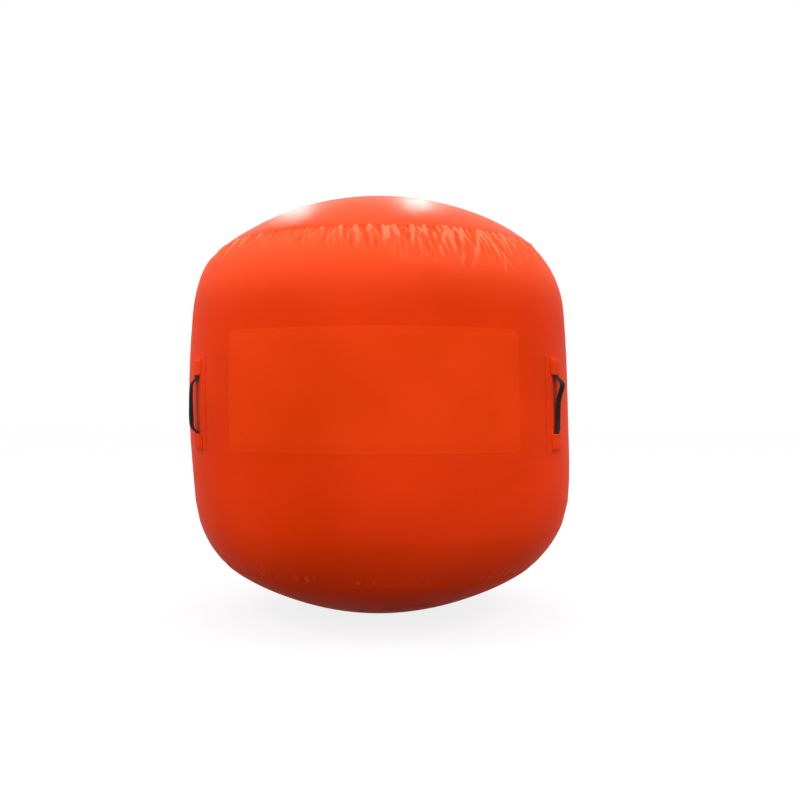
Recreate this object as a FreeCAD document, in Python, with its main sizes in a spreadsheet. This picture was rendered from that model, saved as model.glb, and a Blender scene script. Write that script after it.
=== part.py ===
"""Inflatable regatta mark: a welded fabric cylinder with domed ends, three grab
handles, a deck valve on top and a mooring ring underneath.

Frame: millimetres, +Z up, origin on the floor under the middle of the mark, the
blank name panel facing -Y. Every length is set in the sheet "Sizes".
"""
import FreeCAD, Part
import Sketcher
import math
import os

from FreeCAD import Placement, Rotation, Vector

# name, value, what it is
DRIVING = [
    ("body_diameter", 900, "barrel at its waist, outside"),
    ("body_height", 984, "barrel and domes, pole to pole"),
    ("dome_radius", 605, "end disc blown up"),
    ("shoulder_radius", 220, "turn between dome and barrel"),
    ("waist_radius", 2700, "lengthwise swell of the barrel"),
    ("skin", 0.9, "coated fabric"),
    ("weld_gap", 0.3, "between two welded layers"),
    ("lap_width", 28, "disc welded over the barrel"),
    ("tape_width", 40, "cover of the barrel's own joint"),
    ("tape_turn", 150, "tape, degrees from the front"),
    ("tape_stop", 2, "tape ends this far from the laps"),
    ("panel_width", 660, "blank name panel, round the barrel"),
    ("panel_height", 252, "blank name panel"),
    ("panel_rise", 28, "panel centre above the waist"),
    ("panel_corner", 12, "panel corners"),
    ("handle_turn", 60, "side handles, degrees from the front"),
    ("handle_patch_width", 90, "doubler under a handle"),
    ("handle_patch_margin", 6, "doubler past the handle's pads"),
    ("handle_patch_corner", 14, "doubler corners"),
    ("handle_span", 126, "free length of a handle"),
    ("handle_tail", 30, "end of a handle, under its pad"),
    ("handle_flat", 52, "straight middle of a handle"),
    ("handle_standoff", 15, "room for fingers"),
    ("handle_bend", 12, "bend of the webbing"),
    ("strap_width", 25, "handle webbing"),
    ("strap_thickness", 2.4, "handle webbing"),
    ("pad_width", 48, "moulded pad over each end of a handle"),
    ("pad_lip", 5, "pad begins this far past the handle's bend"),
    ("pad_edge", 9, "pad past the end of the webbing"),
    ("pad_skin", 1.3, "pad over the webbing"),
    ("pad_play", 0.3, "webbing in its pad"),
    ("pad_corner", 9, "pad corners"),
    ("pad_bevel", 1.8, "pad's outer edges"),
    ("seat_radius", 46, "flat seat of the valve"),
    ("valve_hole", 26, "hole in disc and doubler, radius"),
    ("valve_patch_radius", 44, "doubler under the valve"),
    ("flange_radius", 37, "valve flange"),
    ("flange_thickness", 1.6, "valve flange"),
    ("flange_edge", 0.8, "bevel round the flange"),
    ("collar_radius", 22.5, "valve collar, outside"),
    ("collar_wall", 3, "valve collar"),
    ("collar_rise", 3.5, "collar above the flange"),
    ("collar_drop", 14, "collar below the disc"),
    ("stopper_play", 0.3, "one-way stopper in the collar"),
    ("stopper_rim", 1.2, "stopper rim on the collar"),
    ("stopper_bore", 11, "pump socket, radius"),
    ("stopper_height", 15, "stopper under its rim"),
    ("stopper_ledge", 1.5, "ledge the pump's nozzle seats on"),
    ("spider_arms", 4, "arms under the pump socket"),
    ("spider_height", 2.4, "arms, along the valve"),
    ("spider_width", 2.2, "arms, across"),
    ("hub_radius", 3.5, "middle of the spider"),
    ("flap_radius", 15, "rubber flap"),
    ("flap_thickness", 1.2, "rubber flap"),
    ("flap_gap", 0.1, "flap under the spider"),
    ("cap_play", 0.4, "cap round the collar"),
    ("cap_wall", 2.2, "cap skirt"),
    ("cap_top", 2.2, "cap plate"),
    ("cap_dish", 0.9, "dish in the cap plate"),
    ("cap_rib", 0.7, "grip ribs stand out"),
    ("cap_rib_width", 1.8, "grip ribs"),
    ("cap_ribs", 24, "grip ribs round the cap"),
    ("foot_inner", 60, "flat the mark stands on, inner radius"),
    ("foot_outer", 72, "flat the mark stands on, outer radius"),
    ("dimple_radius", 41, "flat roof over the ring"),
    ("dimple_depth", 12.5, "roof above the floor"),
    ("mooring_patch_radius", 38, "cover over the tab's tails"),
    ("webbing_width", 34, "mooring tab"),
    ("webbing_thickness", 1.6, "mooring tab"),
    ("tab_reach", 33, "tab's tail from the middle"),
    ("slot_play", 0.4, "slot in the cover round the tab"),
    ("ring_wire", 6, "ring wire diameter"),
    ("ring_span", 46, "ring width, wire centre to centre"),
    ("ring_leg", 10, "straight legs of the ring"),
    ("ring_bend", 5, "bends at the ring's bar"),
    ("ring_play", 0.3, "ring in its tab"),
]

# name, formula: what follows from the sizes above
WORKED_OUT = [
    ("waist", "body_diameter / 2"),
    ("dome_z", "body_height / 2 - dome_radius"),
    ("side_x", "waist - waist_radius"),
    ("dome_link", "dome_radius - shoulder_radius"),
    ("side_link", "waist_radius - shoulder_radius"),
    ("centre_link", "sqrt(side_x^2 + dome_z^2)"),
    ("along", "(dome_link^2 - side_link^2 + centre_link^2) / (2 * centre_link)"),
    ("across", "sqrt(dome_link^2 - along^2)"),
    ("shoulder_x", "(along * side_x - across * dome_z) / centre_link"),
    ("shoulder_z", "dome_z - (along * dome_z + across * side_x) / centre_link"),
    ("low_cos", "(shoulder_x - side_x) / side_link"),
    ("low_sin", "shoulder_z / side_link"),
    ("high_cos", "shoulder_x / dome_link"),
    ("high_sin", "(shoulder_z - dome_z) / dome_link"),
    # barrel: outer and inner arcs meet the shoulders on these points
    ("waist_in", "waist_radius - skin"),
    ("shoulder_in", "shoulder_radius - skin"),
    ("low_x", "shoulder_x + shoulder_radius * low_cos"),
    ("low_z", "shoulder_z + shoulder_radius * low_sin"),
    ("high_x", "shoulder_x + shoulder_radius * high_cos"),
    ("high_z", "shoulder_z + shoulder_radius * high_sin"),
    ("low_in_x", "shoulder_x + shoulder_in * low_cos"),
    ("low_in_z", "shoulder_z + shoulder_in * low_sin"),
    ("high_in_x", "shoulder_x + shoulder_in * high_cos"),
    ("high_in_z", "shoulder_z + shoulder_in * high_sin"),
    # end discs lie one weld gap outside the barrel
    ("lap_turn", "lap_width / shoulder_radius * 180 / pi"),
    ("edge_cos", "high_cos * cos(lap_turn) + high_sin * sin(lap_turn)"),
    ("edge_sin", "high_sin * cos(lap_turn) - high_cos * sin(lap_turn)"),
    ("dome_in", "dome_radius + weld_gap"),
    ("dome_out", "dome_in + skin"),
    ("lap_in", "shoulder_radius + weld_gap"),
    ("lap_out", "lap_in + skin"),
    ("disc_in_x", "shoulder_x + lap_in * high_cos"),
    ("disc_in_z", "shoulder_z + lap_in * high_sin"),
    ("disc_out_x", "shoulder_x + lap_out * high_cos"),
    ("disc_out_z", "shoulder_z + lap_out * high_sin"),
    ("edge_in_x", "shoulder_x + lap_in * edge_cos"),
    ("edge_in_z", "shoulder_z + lap_in * edge_sin"),
    ("edge_out_x", "shoulder_x + lap_out * edge_cos"),
    ("edge_out_z", "shoulder_z + lap_out * edge_sin"),
    ("seat_z", "dome_z + sqrt(dome_out^2 - seat_radius^2)"),
    ("seat_in_z", "dome_z + sqrt(dome_in^2 - seat_radius^2)"),
    # foot and dimple under the bottom disc
    ("foot_z", "dome_z + sqrt(dome_out^2 - foot_outer^2)"),
    ("foot_in_z", "dome_z + sqrt(dome_in^2 - foot_outer^2)"),
    ("dimple_z", "foot_z - dimple_depth"),
    ("dimple_in_z", "dimple_z - skin"),
    ("tent_run", "foot_inner - dimple_radius"),
    ("tent_shift", "skin * (sqrt(tent_run^2 + dimple_depth^2) - tent_run) / dimple_depth"),
    ("tent_low_x", "foot_inner + tent_shift"),
    ("tent_high_x", "dimple_radius + tent_shift"),
    ("mid_height", "foot_z"),
    # layers welded on the barrel
    ("layer_in", "waist_radius + weld_gap"),
    ("layer_out", "layer_in + skin"),
    ("layer_low_in_x", "shoulder_x + lap_in * low_cos"),
    ("layer_low_in_z", "shoulder_z + lap_in * low_sin"),
    ("layer_low_out_x", "shoulder_x + lap_out * low_cos"),
    ("layer_low_out_z", "shoulder_z + lap_out * low_sin"),
    ("tape_arc", "tape_width / waist * 180 / pi"),
    ("stop_turn", "(lap_width + tape_stop) / shoulder_radius * 180 / pi"),
    ("stop_cos", "high_cos * cos(stop_turn) + high_sin * sin(stop_turn)"),
    ("stop_sin", "high_sin * cos(stop_turn) - high_cos * sin(stop_turn)"),
    ("stop_in_x", "shoulder_x + lap_in * stop_cos"),
    ("stop_in_z", "shoulder_z + lap_in * stop_sin"),
    ("stop_out_x", "shoulder_x + lap_out * stop_cos"),
    ("stop_out_z", "shoulder_z + lap_out * stop_sin"),
    ("panel_arc", "panel_width / waist * 180 / pi"),
    ("panel_low", "panel_rise - panel_height / 2"),
    ("panel_high", "panel_rise + panel_height / 2"),
    ("panel_low_in_x", "side_x + sqrt(layer_in^2 - panel_low^2)"),
    ("panel_low_out_x", "side_x + sqrt(layer_out^2 - panel_low^2)"),
    ("panel_high_in_x", "side_x + sqrt(layer_in^2 - panel_high^2)"),
    ("panel_high_out_x", "side_x + sqrt(layer_out^2 - panel_high^2)"),
    ("patch_arc", "handle_patch_width / waist * 180 / pi"),
    ("root_z", "handle_span / 2"),
    ("tail_z", "root_z + handle_tail"),
    ("pad_far", "tail_z + pad_edge"),
    ("patch_z", "pad_far + handle_patch_margin"),
    ("patch_in_x", "side_x + sqrt(layer_in^2 - patch_z^2)"),
    ("patch_out_x", "side_x + sqrt(layer_out^2 - patch_z^2)"),
    # handle webbing, middle of its thickness
    ("strap_line", "waist_radius + 2 * weld_gap + skin + strap_thickness / 2"),
    ("root_x", "side_x + sqrt(strap_line^2 - root_z^2)"),
    ("tail_x", "side_x + sqrt(strap_line^2 - tail_z^2)"),
    ("bow_x", "root_x + handle_standoff"),
    ("bow_z", "handle_flat / 2"),
    ("strap_half", "strap_thickness / 2"),
    ("strap_side", "strap_width / 2"),
    # moulded pads over the handle's ends, each with a pocket for the webbing
    ("pad_rise", "strap_thickness + pad_play + pad_skin"),
    ("pad_in", "strap_line - strap_half"),
    ("pad_out", "pad_in + pad_rise"),
    ("pad_near", "root_z + pad_lip"),
    ("pad_near_in_x", "side_x + sqrt(pad_in^2 - pad_near^2)"),
    ("pad_near_out_x", "side_x + sqrt(pad_out^2 - pad_near^2)"),
    ("pad_far_in_x", "side_x + sqrt(pad_in^2 - pad_far^2)"),
    ("pad_far_out_x", "side_x + sqrt(pad_out^2 - pad_far^2)"),
    ("pad_arc", "pad_width / waist * 180 / pi"),
    ("pocket_near", "root_z"),
    ("pocket_far", "tail_z + pad_play"),
    ("pocket_near_x", "root_x + strap_half + pad_play"),
    ("pocket_far_x", "tail_x + strap_half + pad_play"),
    ("pocket_in_x", "tail_x - strap_thickness"),
    ("pocket_width", "strap_width + 2 * pad_play"),
    # valve, heights above its seat on the top disc
    ("valve_height", "mid_height + seat_z"),
    ("flange_low", "2 * weld_gap + skin"),
    ("flange_high", "flange_low + flange_thickness"),
    ("flange_shelf", "flange_high - flange_edge"),
    ("flange_flat", "flange_radius - flange_edge"),
    ("collar_high", "flange_high + collar_rise"),
    ("collar_bore", "collar_radius - collar_wall"),
    ("stopper_radius", "collar_bore - stopper_play"),
    ("stopper_low", "collar_high - stopper_height"),
    ("stopper_high", "collar_high + stopper_rim"),
    ("ledge_bore", "stopper_bore - stopper_ledge"),
    ("ledge_high", "stopper_low + spider_height"),
    ("arm_half", "(ledge_bore + 1) / 2"),
    ("arm_middle", "arm_half"),
    ("arm_side", "spider_width / 2"),
    ("flap_height", "stopper_low - flap_gap - flap_thickness"),
    ("cap_low", "flange_high + cap_play"),
    ("cap_bore", "collar_radius + cap_play"),
    ("cap_radius", "cap_bore + cap_wall"),
    ("cap_roof", "stopper_high + cap_play"),
    ("cap_high", "cap_roof + cap_top"),
    ("cap_edge", "cap_radius - 1"),
    ("cap_shoulder", "cap_high - 1"),
    ("dish_radius", "cap_radius - 4"),
    ("dish_low", "cap_high - cap_dish"),
    ("dish_edge", "dish_radius - cap_dish"),
    ("cap_rib_middle", "cap_radius"),
    ("cap_rib_half", "cap_rib_width / 2"),
    ("cap_rib_height", "cap_shoulder - cap_low"),
    # mooring fitting, heights above the floor
    ("tail_high", "dimple_depth - weld_gap"),
    ("tail_low", "tail_high - webbing_thickness"),
    ("cover_low", "tail_low - weld_gap - skin"),
    ("wire_radius", "ring_wire / 2"),
    ("ring_height", "cover_low - ring_play - wire_radius"),
    ("tab_in", "wire_radius + ring_play"),
    ("tab_out", "tab_in + webbing_thickness"),
    ("tail_top", "tail_high - ring_height"),
    ("tail_under", "tail_low - ring_height"),
    ("slot_x", "tab_out + slot_play"),
    ("slot_y", "webbing_width / 2 + slot_play"),
    ("ring_y", "ring_span / 2"),
    ("bar_y", "ring_y - ring_bend"),
    ("ring_tip", "ring_leg + ring_y"),
]

doc = FreeCAD.newDocument("RegattaMark")
sheet = doc.addObject("Spreadsheet::Sheet", "Sizes")
for row, (name, figure, note) in enumerate(DRIVING, 1):
    sheet.set("A%d" % row, name)
    sheet.set("B%d" % row, str(figure))
    sheet.set("C%d" % row, note)
    sheet.setAlias("B%d" % row, name)
for row, (name, formula) in enumerate(WORKED_OUT, 1):
    sheet.set("E%d" % row, name)
    sheet.set("F%d" % row, "=" + formula)
    sheet.setAlias("F%d" % row, name)
doc.recompute()

PIECES = []


def number(name):
    """Value of a cell; a leading minus mirrors it and "0" is nought."""
    if name == "0":
        return 0.0
    return -float(sheet.get(name[1:])) if name.startswith("-") else float(sheet.get(name))


def cell(name):
    return "-Sizes." + name[1:] if name.startswith("-") else "Sizes." + name


def piece(label, height="0", turn=None):
    """A body of its own; height lifts it, turn swings it about the mark's axis."""
    body = doc.addObject("PartDesign::Body", label)
    body.Label = label
    if turn is not None:
        body.Placement = Placement(Vector(), Rotation(Vector(0, 0, 1), 0))
        body.setExpression("Placement.Rotation.Angle", turn)
    if height != "0":
        body.setExpression("Placement.Base.z", cell(height))
    PIECES.append(body)
    return body


def sketch_on(body, role, lift=None):
    sketch = body.newObject("Sketcher::SketchObject", body.Name + "_sketch")
    plane = [o for o in body.Origin.OriginFeatures if o.Role == role][0]
    sketch.AttachmentSupport = [(plane, "")]
    sketch.MapMode = "FlatFace"
    if lift:
        sketch.setExpression("AttachmentOffset.Base.z", cell(lift))
    return sketch


def hold(sketch, kind, *ends_and_name):
    """One measured constraint, tied to its cell."""
    *ends, name = ends_and_name
    index = sketch.addConstraint(Sketcher.Constraint(kind, *ends, number(name)))
    sketch.setExpression("Constraints[%d]" % index, cell(name))


def pin_point(sketch, edge, end, x, y):
    """Tie one end of an edge to the cells x and y."""
    if x == "0":
        sketch.addConstraint(Sketcher.Constraint("PointOnObject", edge, end, -2))
    else:
        hold(sketch, "DistanceX", -1, 1, edge, end, x)
    if y == "0":
        sketch.addConstraint(Sketcher.Constraint("PointOnObject", edge, end, -1))
    else:
        hold(sketch, "DistanceY", -1, 1, edge, end, y)


def arc_between(start, end, radius, turn):
    """Minor arc; turn +1 keeps the centre on the left, -1 on the right."""
    chord = end - start
    rise = math.sqrt(max(radius ** 2 - chord.Length ** 2 / 4, 0.0))
    left = Vector(-chord.y, chord.x, 0).normalize()
    centre = (start + end) / 2 + left * rise * turn
    first, last = (start, end) if turn > 0 else (end, start)
    a = math.atan2(first.y - centre.y, first.x - centre.x)
    b = math.atan2(last.y - centre.y, last.x - centre.x)
    circle = Part.Circle(centre, Vector(0, 0, 1), radius)
    return Part.ArcOfCircle(circle, a, b if b > a else b + 2 * math.pi)


def outline(sketch, steps):
    """Closed chain of (x, y) or, where an arc leaves the point, (x, y, radius, turn)."""
    points = [Vector(number(s[0]), number(s[1]), 0) for s in steps]
    chain = []
    for i, step in enumerate(steps):
        start, end = points[i], points[(i + 1) % len(steps)]
        if len(step) == 2:
            chain.append((sketch.addGeometry(Part.LineSegment(start, end), False), 1, 2))
            continue
        arc = arc_between(start, end, number(step[2]), step[3])
        ends = (1, 2) if step[3] > 0 else (2, 1)
        chain.append((sketch.addGeometry(arc, False),) + ends)
        hold(sketch, "Radius", chain[-1][0], step[2])
    for i, (edge, first, last) in enumerate(chain):
        following, start, _ = chain[(i + 1) % len(chain)]
        sketch.addConstraint(Sketcher.Constraint("Coincident", edge, last, following, start))
        pin_point(sketch, edge, first, steps[i][0], steps[i][1])


def bent_line(sketch, corners, radius):
    """Open run of straight lines through the corners, each bend rounded."""
    points = [Vector(number(x), number(y), 0) for x, y in corners]
    bend = number(radius)
    lines, arcs, start = [], [], points[0]
    for before, at, after in zip(points, points[1:], points[2:]):
        back, on = (before - at).normalize(), (after - at).normalize()
        half = math.acos(max(-1.0, min(1.0, back.dot(on)))) / 2
        cut = bend / math.tan(half)
        turn = 1 if (at - before).cross(after - at).z > 0 else -1
        first, last = at + back * cut, at + on * cut
        lines.append(sketch.addGeometry(Part.LineSegment(start, first), False))
        arcs.append((sketch.addGeometry(arc_between(first, last, bend, turn), False), turn))
        start = last
    lines.append(sketch.addGeometry(Part.LineSegment(start, points[-1]), False))
    for i, (arc, turn) in enumerate(arcs):
        entry, leave = (1, 2) if turn > 0 else (2, 1)
        sketch.addConstraint(Sketcher.Constraint("Tangent", lines[i], 2, arc, entry))
        sketch.addConstraint(Sketcher.Constraint("Tangent", arc, leave, lines[i + 1], 1))
        hold(sketch, "Radius", arc, radius)
        corner = sketch.addGeometry(Part.Point(points[i + 1]), True)
        pin_point(sketch, corner, 1, *corners[i + 1])
        for line in (lines[i], lines[i + 1]):
            sketch.addConstraint(Sketcher.Constraint("PointOnObject", corner, 1, line))
    pin_point(sketch, lines[0], 1, *corners[0])
    pin_point(sketch, lines[-1], 2, *corners[-1])


def ring_of(sketch, radius, hole=None):
    for name in filter(None, (radius, hole)):
        circle = Part.Circle(Vector(), Vector(0, 0, 1), number(name))
        edge = sketch.addGeometry(circle, False)
        sketch.addConstraint(Sketcher.Constraint("Coincident", edge, 3, -1, 1))
        hold(sketch, "Radius", edge, name)


def block_of(sketch, x, y, middle=None):
    """Rectangle of half sizes x and y about the origin, or about (middle, 0)."""
    shift = number(middle) if middle else 0.0
    corners = [(-1, -1), (1, -1), (1, 1), (-1, 1)]
    at = [Vector(shift + a * number(x), b * number(y), 0) for a, b in corners]
    edges = [sketch.addGeometry(Part.LineSegment(at[i], at[(i + 1) % 4]), False) for i in range(4)]
    for i, (a, b) in enumerate(corners):
        sketch.addConstraint(Sketcher.Constraint("Coincident", edges[i], 1, edges[i - 1], 2))
        if middle:
            index = sketch.addConstraint(Sketcher.Constraint("DistanceX", -1, 1, edges[i], 1, at[i].x))
            sign = "+" if a > 0 else "-"
            sketch.setExpression("Constraints[%d]" % index, "%s %s %s" % (cell(middle), sign, cell(x)))
        else:
            hold(sketch, "DistanceX", -1, 1, edges[i], 1, x if a > 0 else "-" + x)
        hold(sketch, "DistanceY", -1, 1, edges[i], 1, y if b > 0 else "-" + y)


def feature(body, kind, sketch, **settings):
    made = body.newObject("PartDesign::" + kind, body.Name + "_" + kind.lower())
    made.Profile = sketch
    for key, setting in settings.items():
        if isinstance(setting, str) and setting.startswith("Sizes."):
            made.setExpression(key, setting)
        else:
            setattr(made, key, setting)
    sketch.Visibility = False
    return made


def turned(body, steps, arc=None):
    """Profile in x, z swung about the body's axis, all round or over an arc."""
    sketch = sketch_on(body, "XZ_Plane")
    outline(sketch, steps)
    made = feature(body, "Revolution", sketch, ReferenceAxis=(sketch, ["V_Axis"]), Angle=360.0)
    if arc:
        made.Midplane = True
        made.setExpression("Angle", cell(arc))
    return made


def round_corners(body, radius, thickness="skin"):
    """Round the four short edges through the thickness of a welded layer."""
    doc.recompute()
    base = body.Tip
    limit = 2 * number(thickness)
    short = ["Edge%d" % (i + 1) for i, e in enumerate(base.Shape.Edges) if e.Length < limit]
    made = body.newObject("PartDesign::Fillet", body.Name + "_fillet")
    made.Base = (base, short)
    made.setExpression("Radius", cell(radius))


def swept(body, path, wire):
    made = body.newObject("PartDesign::AdditivePipe", body.Name + "_pipe")
    made.Profile = wire
    made.Spine = (path, ["Edge%d" % (i + 1) for i in range(len(path.Shape.Edges))])
    path.Visibility = wire.Visibility = False
    return made


def barrel_panel():
    body = piece("barrel_panel", "mid_height")
    turned(body, [
        ("low_x", "-low_z", "waist_radius", 1), ("low_x", "low_z", "shoulder_radius", 1),
        ("high_x", "high_z"),
        ("high_in_x", "high_in_z", "shoulder_in", -1), ("low_in_x", "low_in_z", "waist_in", -1),
        ("low_in_x", "-low_in_z", "shoulder_in", -1), ("high_in_x", "-high_in_z"),
        ("high_x", "-high_z", "shoulder_radius", 1)])


def barrel_seam_tape():
    body = piece("barrel_seam_tape", "mid_height", "Sizes.tape_turn - 90")
    turned(body, [
        ("layer_low_out_x", "-layer_low_out_z", "layer_out", 1),
        ("layer_low_out_x", "layer_low_out_z", "lap_out", 1),
        ("stop_out_x", "stop_out_z"),
        ("stop_in_x", "stop_in_z", "lap_in", -1),
        ("layer_low_in_x", "layer_low_in_z", "layer_in", -1),
        ("layer_low_in_x", "-layer_low_in_z", "lap_in", -1),
        ("stop_in_x", "-stop_in_z"),
        ("stop_out_x", "-stop_out_z", "lap_out", 1)], "tape_arc")


def top_disc():
    body = piece("top_disc", "mid_height")
    turned(body, [
        ("valve_hole", "seat_in_z"), ("seat_radius", "seat_in_z", "dome_in", -1),
        ("disc_in_x", "disc_in_z", "lap_in", -1), ("edge_in_x", "edge_in_z"),
        ("edge_out_x", "edge_out_z", "lap_out", 1), ("disc_out_x", "disc_out_z", "dome_out", 1),
        ("seat_radius", "seat_z"), ("valve_hole", "seat_z")])


def bottom_disc():
    body = piece("bottom_disc", "mid_height")
    turned(body, [
        ("0", "-dimple_z"), ("dimple_radius", "-dimple_z"), ("foot_inner", "-foot_z"),
        ("foot_outer", "-foot_z", "dome_out", 1), ("disc_out_x", "-disc_out_z", "lap_out", 1),
        ("edge_out_x", "-edge_out_z"), ("edge_in_x", "-edge_in_z", "lap_in", -1),
        ("disc_in_x", "-disc_in_z", "dome_in", -1), ("foot_outer", "-foot_in_z"),
        ("tent_low_x", "-foot_in_z"), ("tent_high_x", "-dimple_in_z"), ("0", "-dimple_in_z")])


def name_panel():
    body = piece("name_panel", "mid_height", "-90")
    turned(body, [
        ("panel_low_out_x", "panel_low", "layer_out", 1), ("panel_high_out_x", "panel_high"),
        ("panel_high_in_x", "panel_high", "layer_in", -1), ("panel_low_in_x", "panel_low")],
        "panel_arc")
    round_corners(body, "panel_corner")


def handle(side, turn):
    patch = piece("handle_patch_" + side, "mid_height", turn)
    turned(patch, [
        ("patch_out_x", "-patch_z", "layer_out", 1), ("patch_out_x", "patch_z"),
        ("patch_in_x", "patch_z", "layer_in", -1), ("patch_in_x", "-patch_z")], "patch_arc")
    round_corners(patch, "handle_patch_corner")
    strap = piece("handle_strap_" + side, "mid_height", turn)
    path = sketch_on(strap, "XZ_Plane")
    bent_line(path, [("tail_x", "-tail_z"), ("root_x", "-root_z"), ("bow_x", "-bow_z"),
                     ("bow_x", "bow_z"), ("root_x", "root_z"), ("tail_x", "tail_z")],
              "handle_bend")
    wire = sketch_on(strap, "XY_Plane", "-tail_z")
    block_of(wire, "strap_half", "strap_side", "tail_x")
    doc.recompute()
    swept(strap, path, wire)
    handle_pad(side, "upper", turn)
    handle_pad(side, "lower", turn)


def bevel_outside(body, radius, size):
    """Bevel the edges whose ends lie this far from the side's centre."""
    doc.recompute()
    base = body.Tip
    least = number(radius) - number("weld_gap")
    shift = number("side_x")

    def outside(edge):
        return all(math.hypot(math.hypot(v.X, v.Y) - shift, v.Z) > least for v in edge.Vertexes)
    rim = ["Edge%d" % (i + 1) for i, e in enumerate(base.Shape.Edges) if outside(e)]
    made = body.newObject("PartDesign::Chamfer", body.Name + "_chamfer")
    made.Base = (base, rim)
    made.setExpression("Size", cell(size))


def handle_pad(side, end, turn):
    """Pad welded over one end of a handle, upper or lower. It is so short that it is
    straight lengthwise, where the barrel swells by a twentieth of a millimetre."""
    up = {"upper": "", "lower": "-"}[end]
    pad = piece("handle_pad_%s_%s" % (side, end), "mid_height", turn)
    far, near = ("pad_far_out_x", up + "pad_far"), ("pad_near_out_x", up + "pad_near")
    far_in, near_in = ("pad_far_in_x", up + "pad_far"), ("pad_near_in_x", up + "pad_near")
    if up:
        turned(pad, [far, near, near_in, far_in], "pad_arc")
    else:
        turned(pad, [near, far, far_in, near_in], "pad_arc")
    round_corners(pad, "pad_corner", "pad_rise")
    bevel_outside(pad, "pad_out", "pad_bevel")
    doc.recompute()
    pocket = sketch_on(pad, "XZ_Plane")
    outline(pocket, [("pocket_near_x", up + "pocket_near"), ("pocket_far_x", up + "pocket_far"),
                     ("pocket_in_x", up + "pocket_far"), ("pocket_in_x", up + "pocket_near")])
    feature(pad, "Pocket", pocket, Length="Sizes.pocket_width", Midplane=True)


def valve():
    patch = piece("valve_patch")
    patch.setExpression("Placement.Base.z", "Sizes.valve_height + Sizes.weld_gap")
    sketch = sketch_on(patch, "XY_Plane")
    ring_of(sketch, "valve_patch_radius", "valve_hole")
    feature(patch, "Pad", sketch, Length="Sizes.skin")

    base = piece("valve_base", "valve_height")
    turned(base, [
        ("collar_bore", "-collar_drop"), ("collar_radius", "-collar_drop"),
        ("collar_radius", "flange_low"), ("flange_radius", "flange_low"),
        ("flange_radius", "flange_shelf"), ("flange_flat", "flange_high"),
        ("collar_radius", "flange_high"), ("collar_radius", "collar_high"),
        ("collar_bore", "collar_high")])

    stopper = piece("valve_stopper", "valve_height")
    turned(stopper, [
        ("ledge_bore", "stopper_low"), ("stopper_radius", "stopper_low"),
        ("stopper_radius", "collar_high"), ("collar_radius", "collar_high"),
        ("collar_radius", "stopper_high"), ("stopper_bore", "stopper_high"),
        ("stopper_bore", "ledge_high"), ("ledge_bore", "ledge_high")])
    doc.recompute()
    hub = sketch_on(stopper, "XY_Plane", "stopper_low")
    ring_of(hub, "hub_radius")
    feature(stopper, "Pad", hub, Length="Sizes.spider_height")
    doc.recompute()
    arm_sketch = sketch_on(stopper, "XY_Plane", "stopper_low")
    block_of(arm_sketch, "arm_half", "arm_side", "arm_middle")
    arm = feature(stopper, "Pad", arm_sketch, Length="Sizes.spider_height")
    doc.recompute()
    spin(stopper, arm, "spider_arms")

    flap = piece("valve_flap")
    flap.setExpression("Placement.Base.z", "Sizes.valve_height + Sizes.flap_height")
    sketch = sketch_on(flap, "XY_Plane")
    ring_of(sketch, "flap_radius")
    feature(flap, "Pad", sketch, Length="Sizes.flap_thickness")

    cap = piece("valve_cap", "valve_height")
    turned(cap, [
        ("0", "cap_roof"), ("cap_bore", "cap_roof"), ("cap_bore", "cap_low"),
        ("cap_radius", "cap_low"), ("cap_radius", "cap_shoulder"), ("cap_edge", "cap_high"),
        ("dish_radius", "cap_high"), ("dish_edge", "dish_low"), ("0", "dish_low")])
    doc.recompute()
    rib_sketch = sketch_on(cap, "XY_Plane", "cap_low")
    block_of(rib_sketch, "cap_rib", "cap_rib_half", "cap_rib_middle")
    rib = feature(cap, "Pad", rib_sketch, Length="Sizes.cap_rib_height")
    doc.recompute()
    spin(cap, rib, "cap_ribs")


def spin(body, repeated, count):
    pattern = body.newObject("PartDesign::PolarPattern", body.Name + "_pattern")
    pattern.Originals = [repeated]
    axis = [o for o in body.Origin.OriginFeatures if o.Role == "Z_Axis"][0]
    pattern.Axis = (axis, [""])
    pattern.Angle = 360.0
    pattern.setExpression("Occurrences", cell(count))
    body.Tip = pattern


def mooring():
    cover = piece("mooring_patch", "cover_low")
    sketch = sketch_on(cover, "XY_Plane")
    ring_of(sketch, "mooring_patch_radius")
    block_of(sketch, "slot_x", "slot_y")
    feature(cover, "Pad", sketch, Length="Sizes.skin")

    tab = piece("mooring_tab", "ring_height")
    sketch = sketch_on(tab, "XZ_Plane")
    outline(sketch, [
        ("tab_reach", "tail_under"), ("tab_reach", "tail_top"), ("tab_in", "tail_top"),
        ("tab_in", "0", "tab_in", -1), ("0", "-tab_in", "tab_in", -1), ("-tab_in", "0"),
        ("-tab_in", "tail_top"), ("-tab_reach", "tail_top"), ("-tab_reach", "tail_under"),
        ("-tab_out", "tail_under"), ("-tab_out", "0", "tab_out", 1),
        ("0", "-tab_out", "tab_out", 1), ("tab_out", "0"), ("tab_out", "tail_under")])
    feature(tab, "Pad", sketch, Length="Sizes.webbing_width", Midplane=True)

    ring = piece("mooring_ring", "ring_height")
    path = sketch_on(ring, "XY_Plane")
    outline(path, [
        ("0", "bar_y", "ring_bend", -1), ("ring_bend", "ring_y"),
        ("ring_leg", "ring_y", "ring_y", -1), ("ring_tip", "0", "ring_y", -1),
        ("ring_leg", "-ring_y"), ("ring_bend", "-ring_y", "ring_bend", -1), ("0", "-bar_y")])
    wire = sketch_on(ring, "XZ_Plane")
    ring_of(wire, "wire_radius")
    doc.recompute()
    swept(ring, path, wire)


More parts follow.
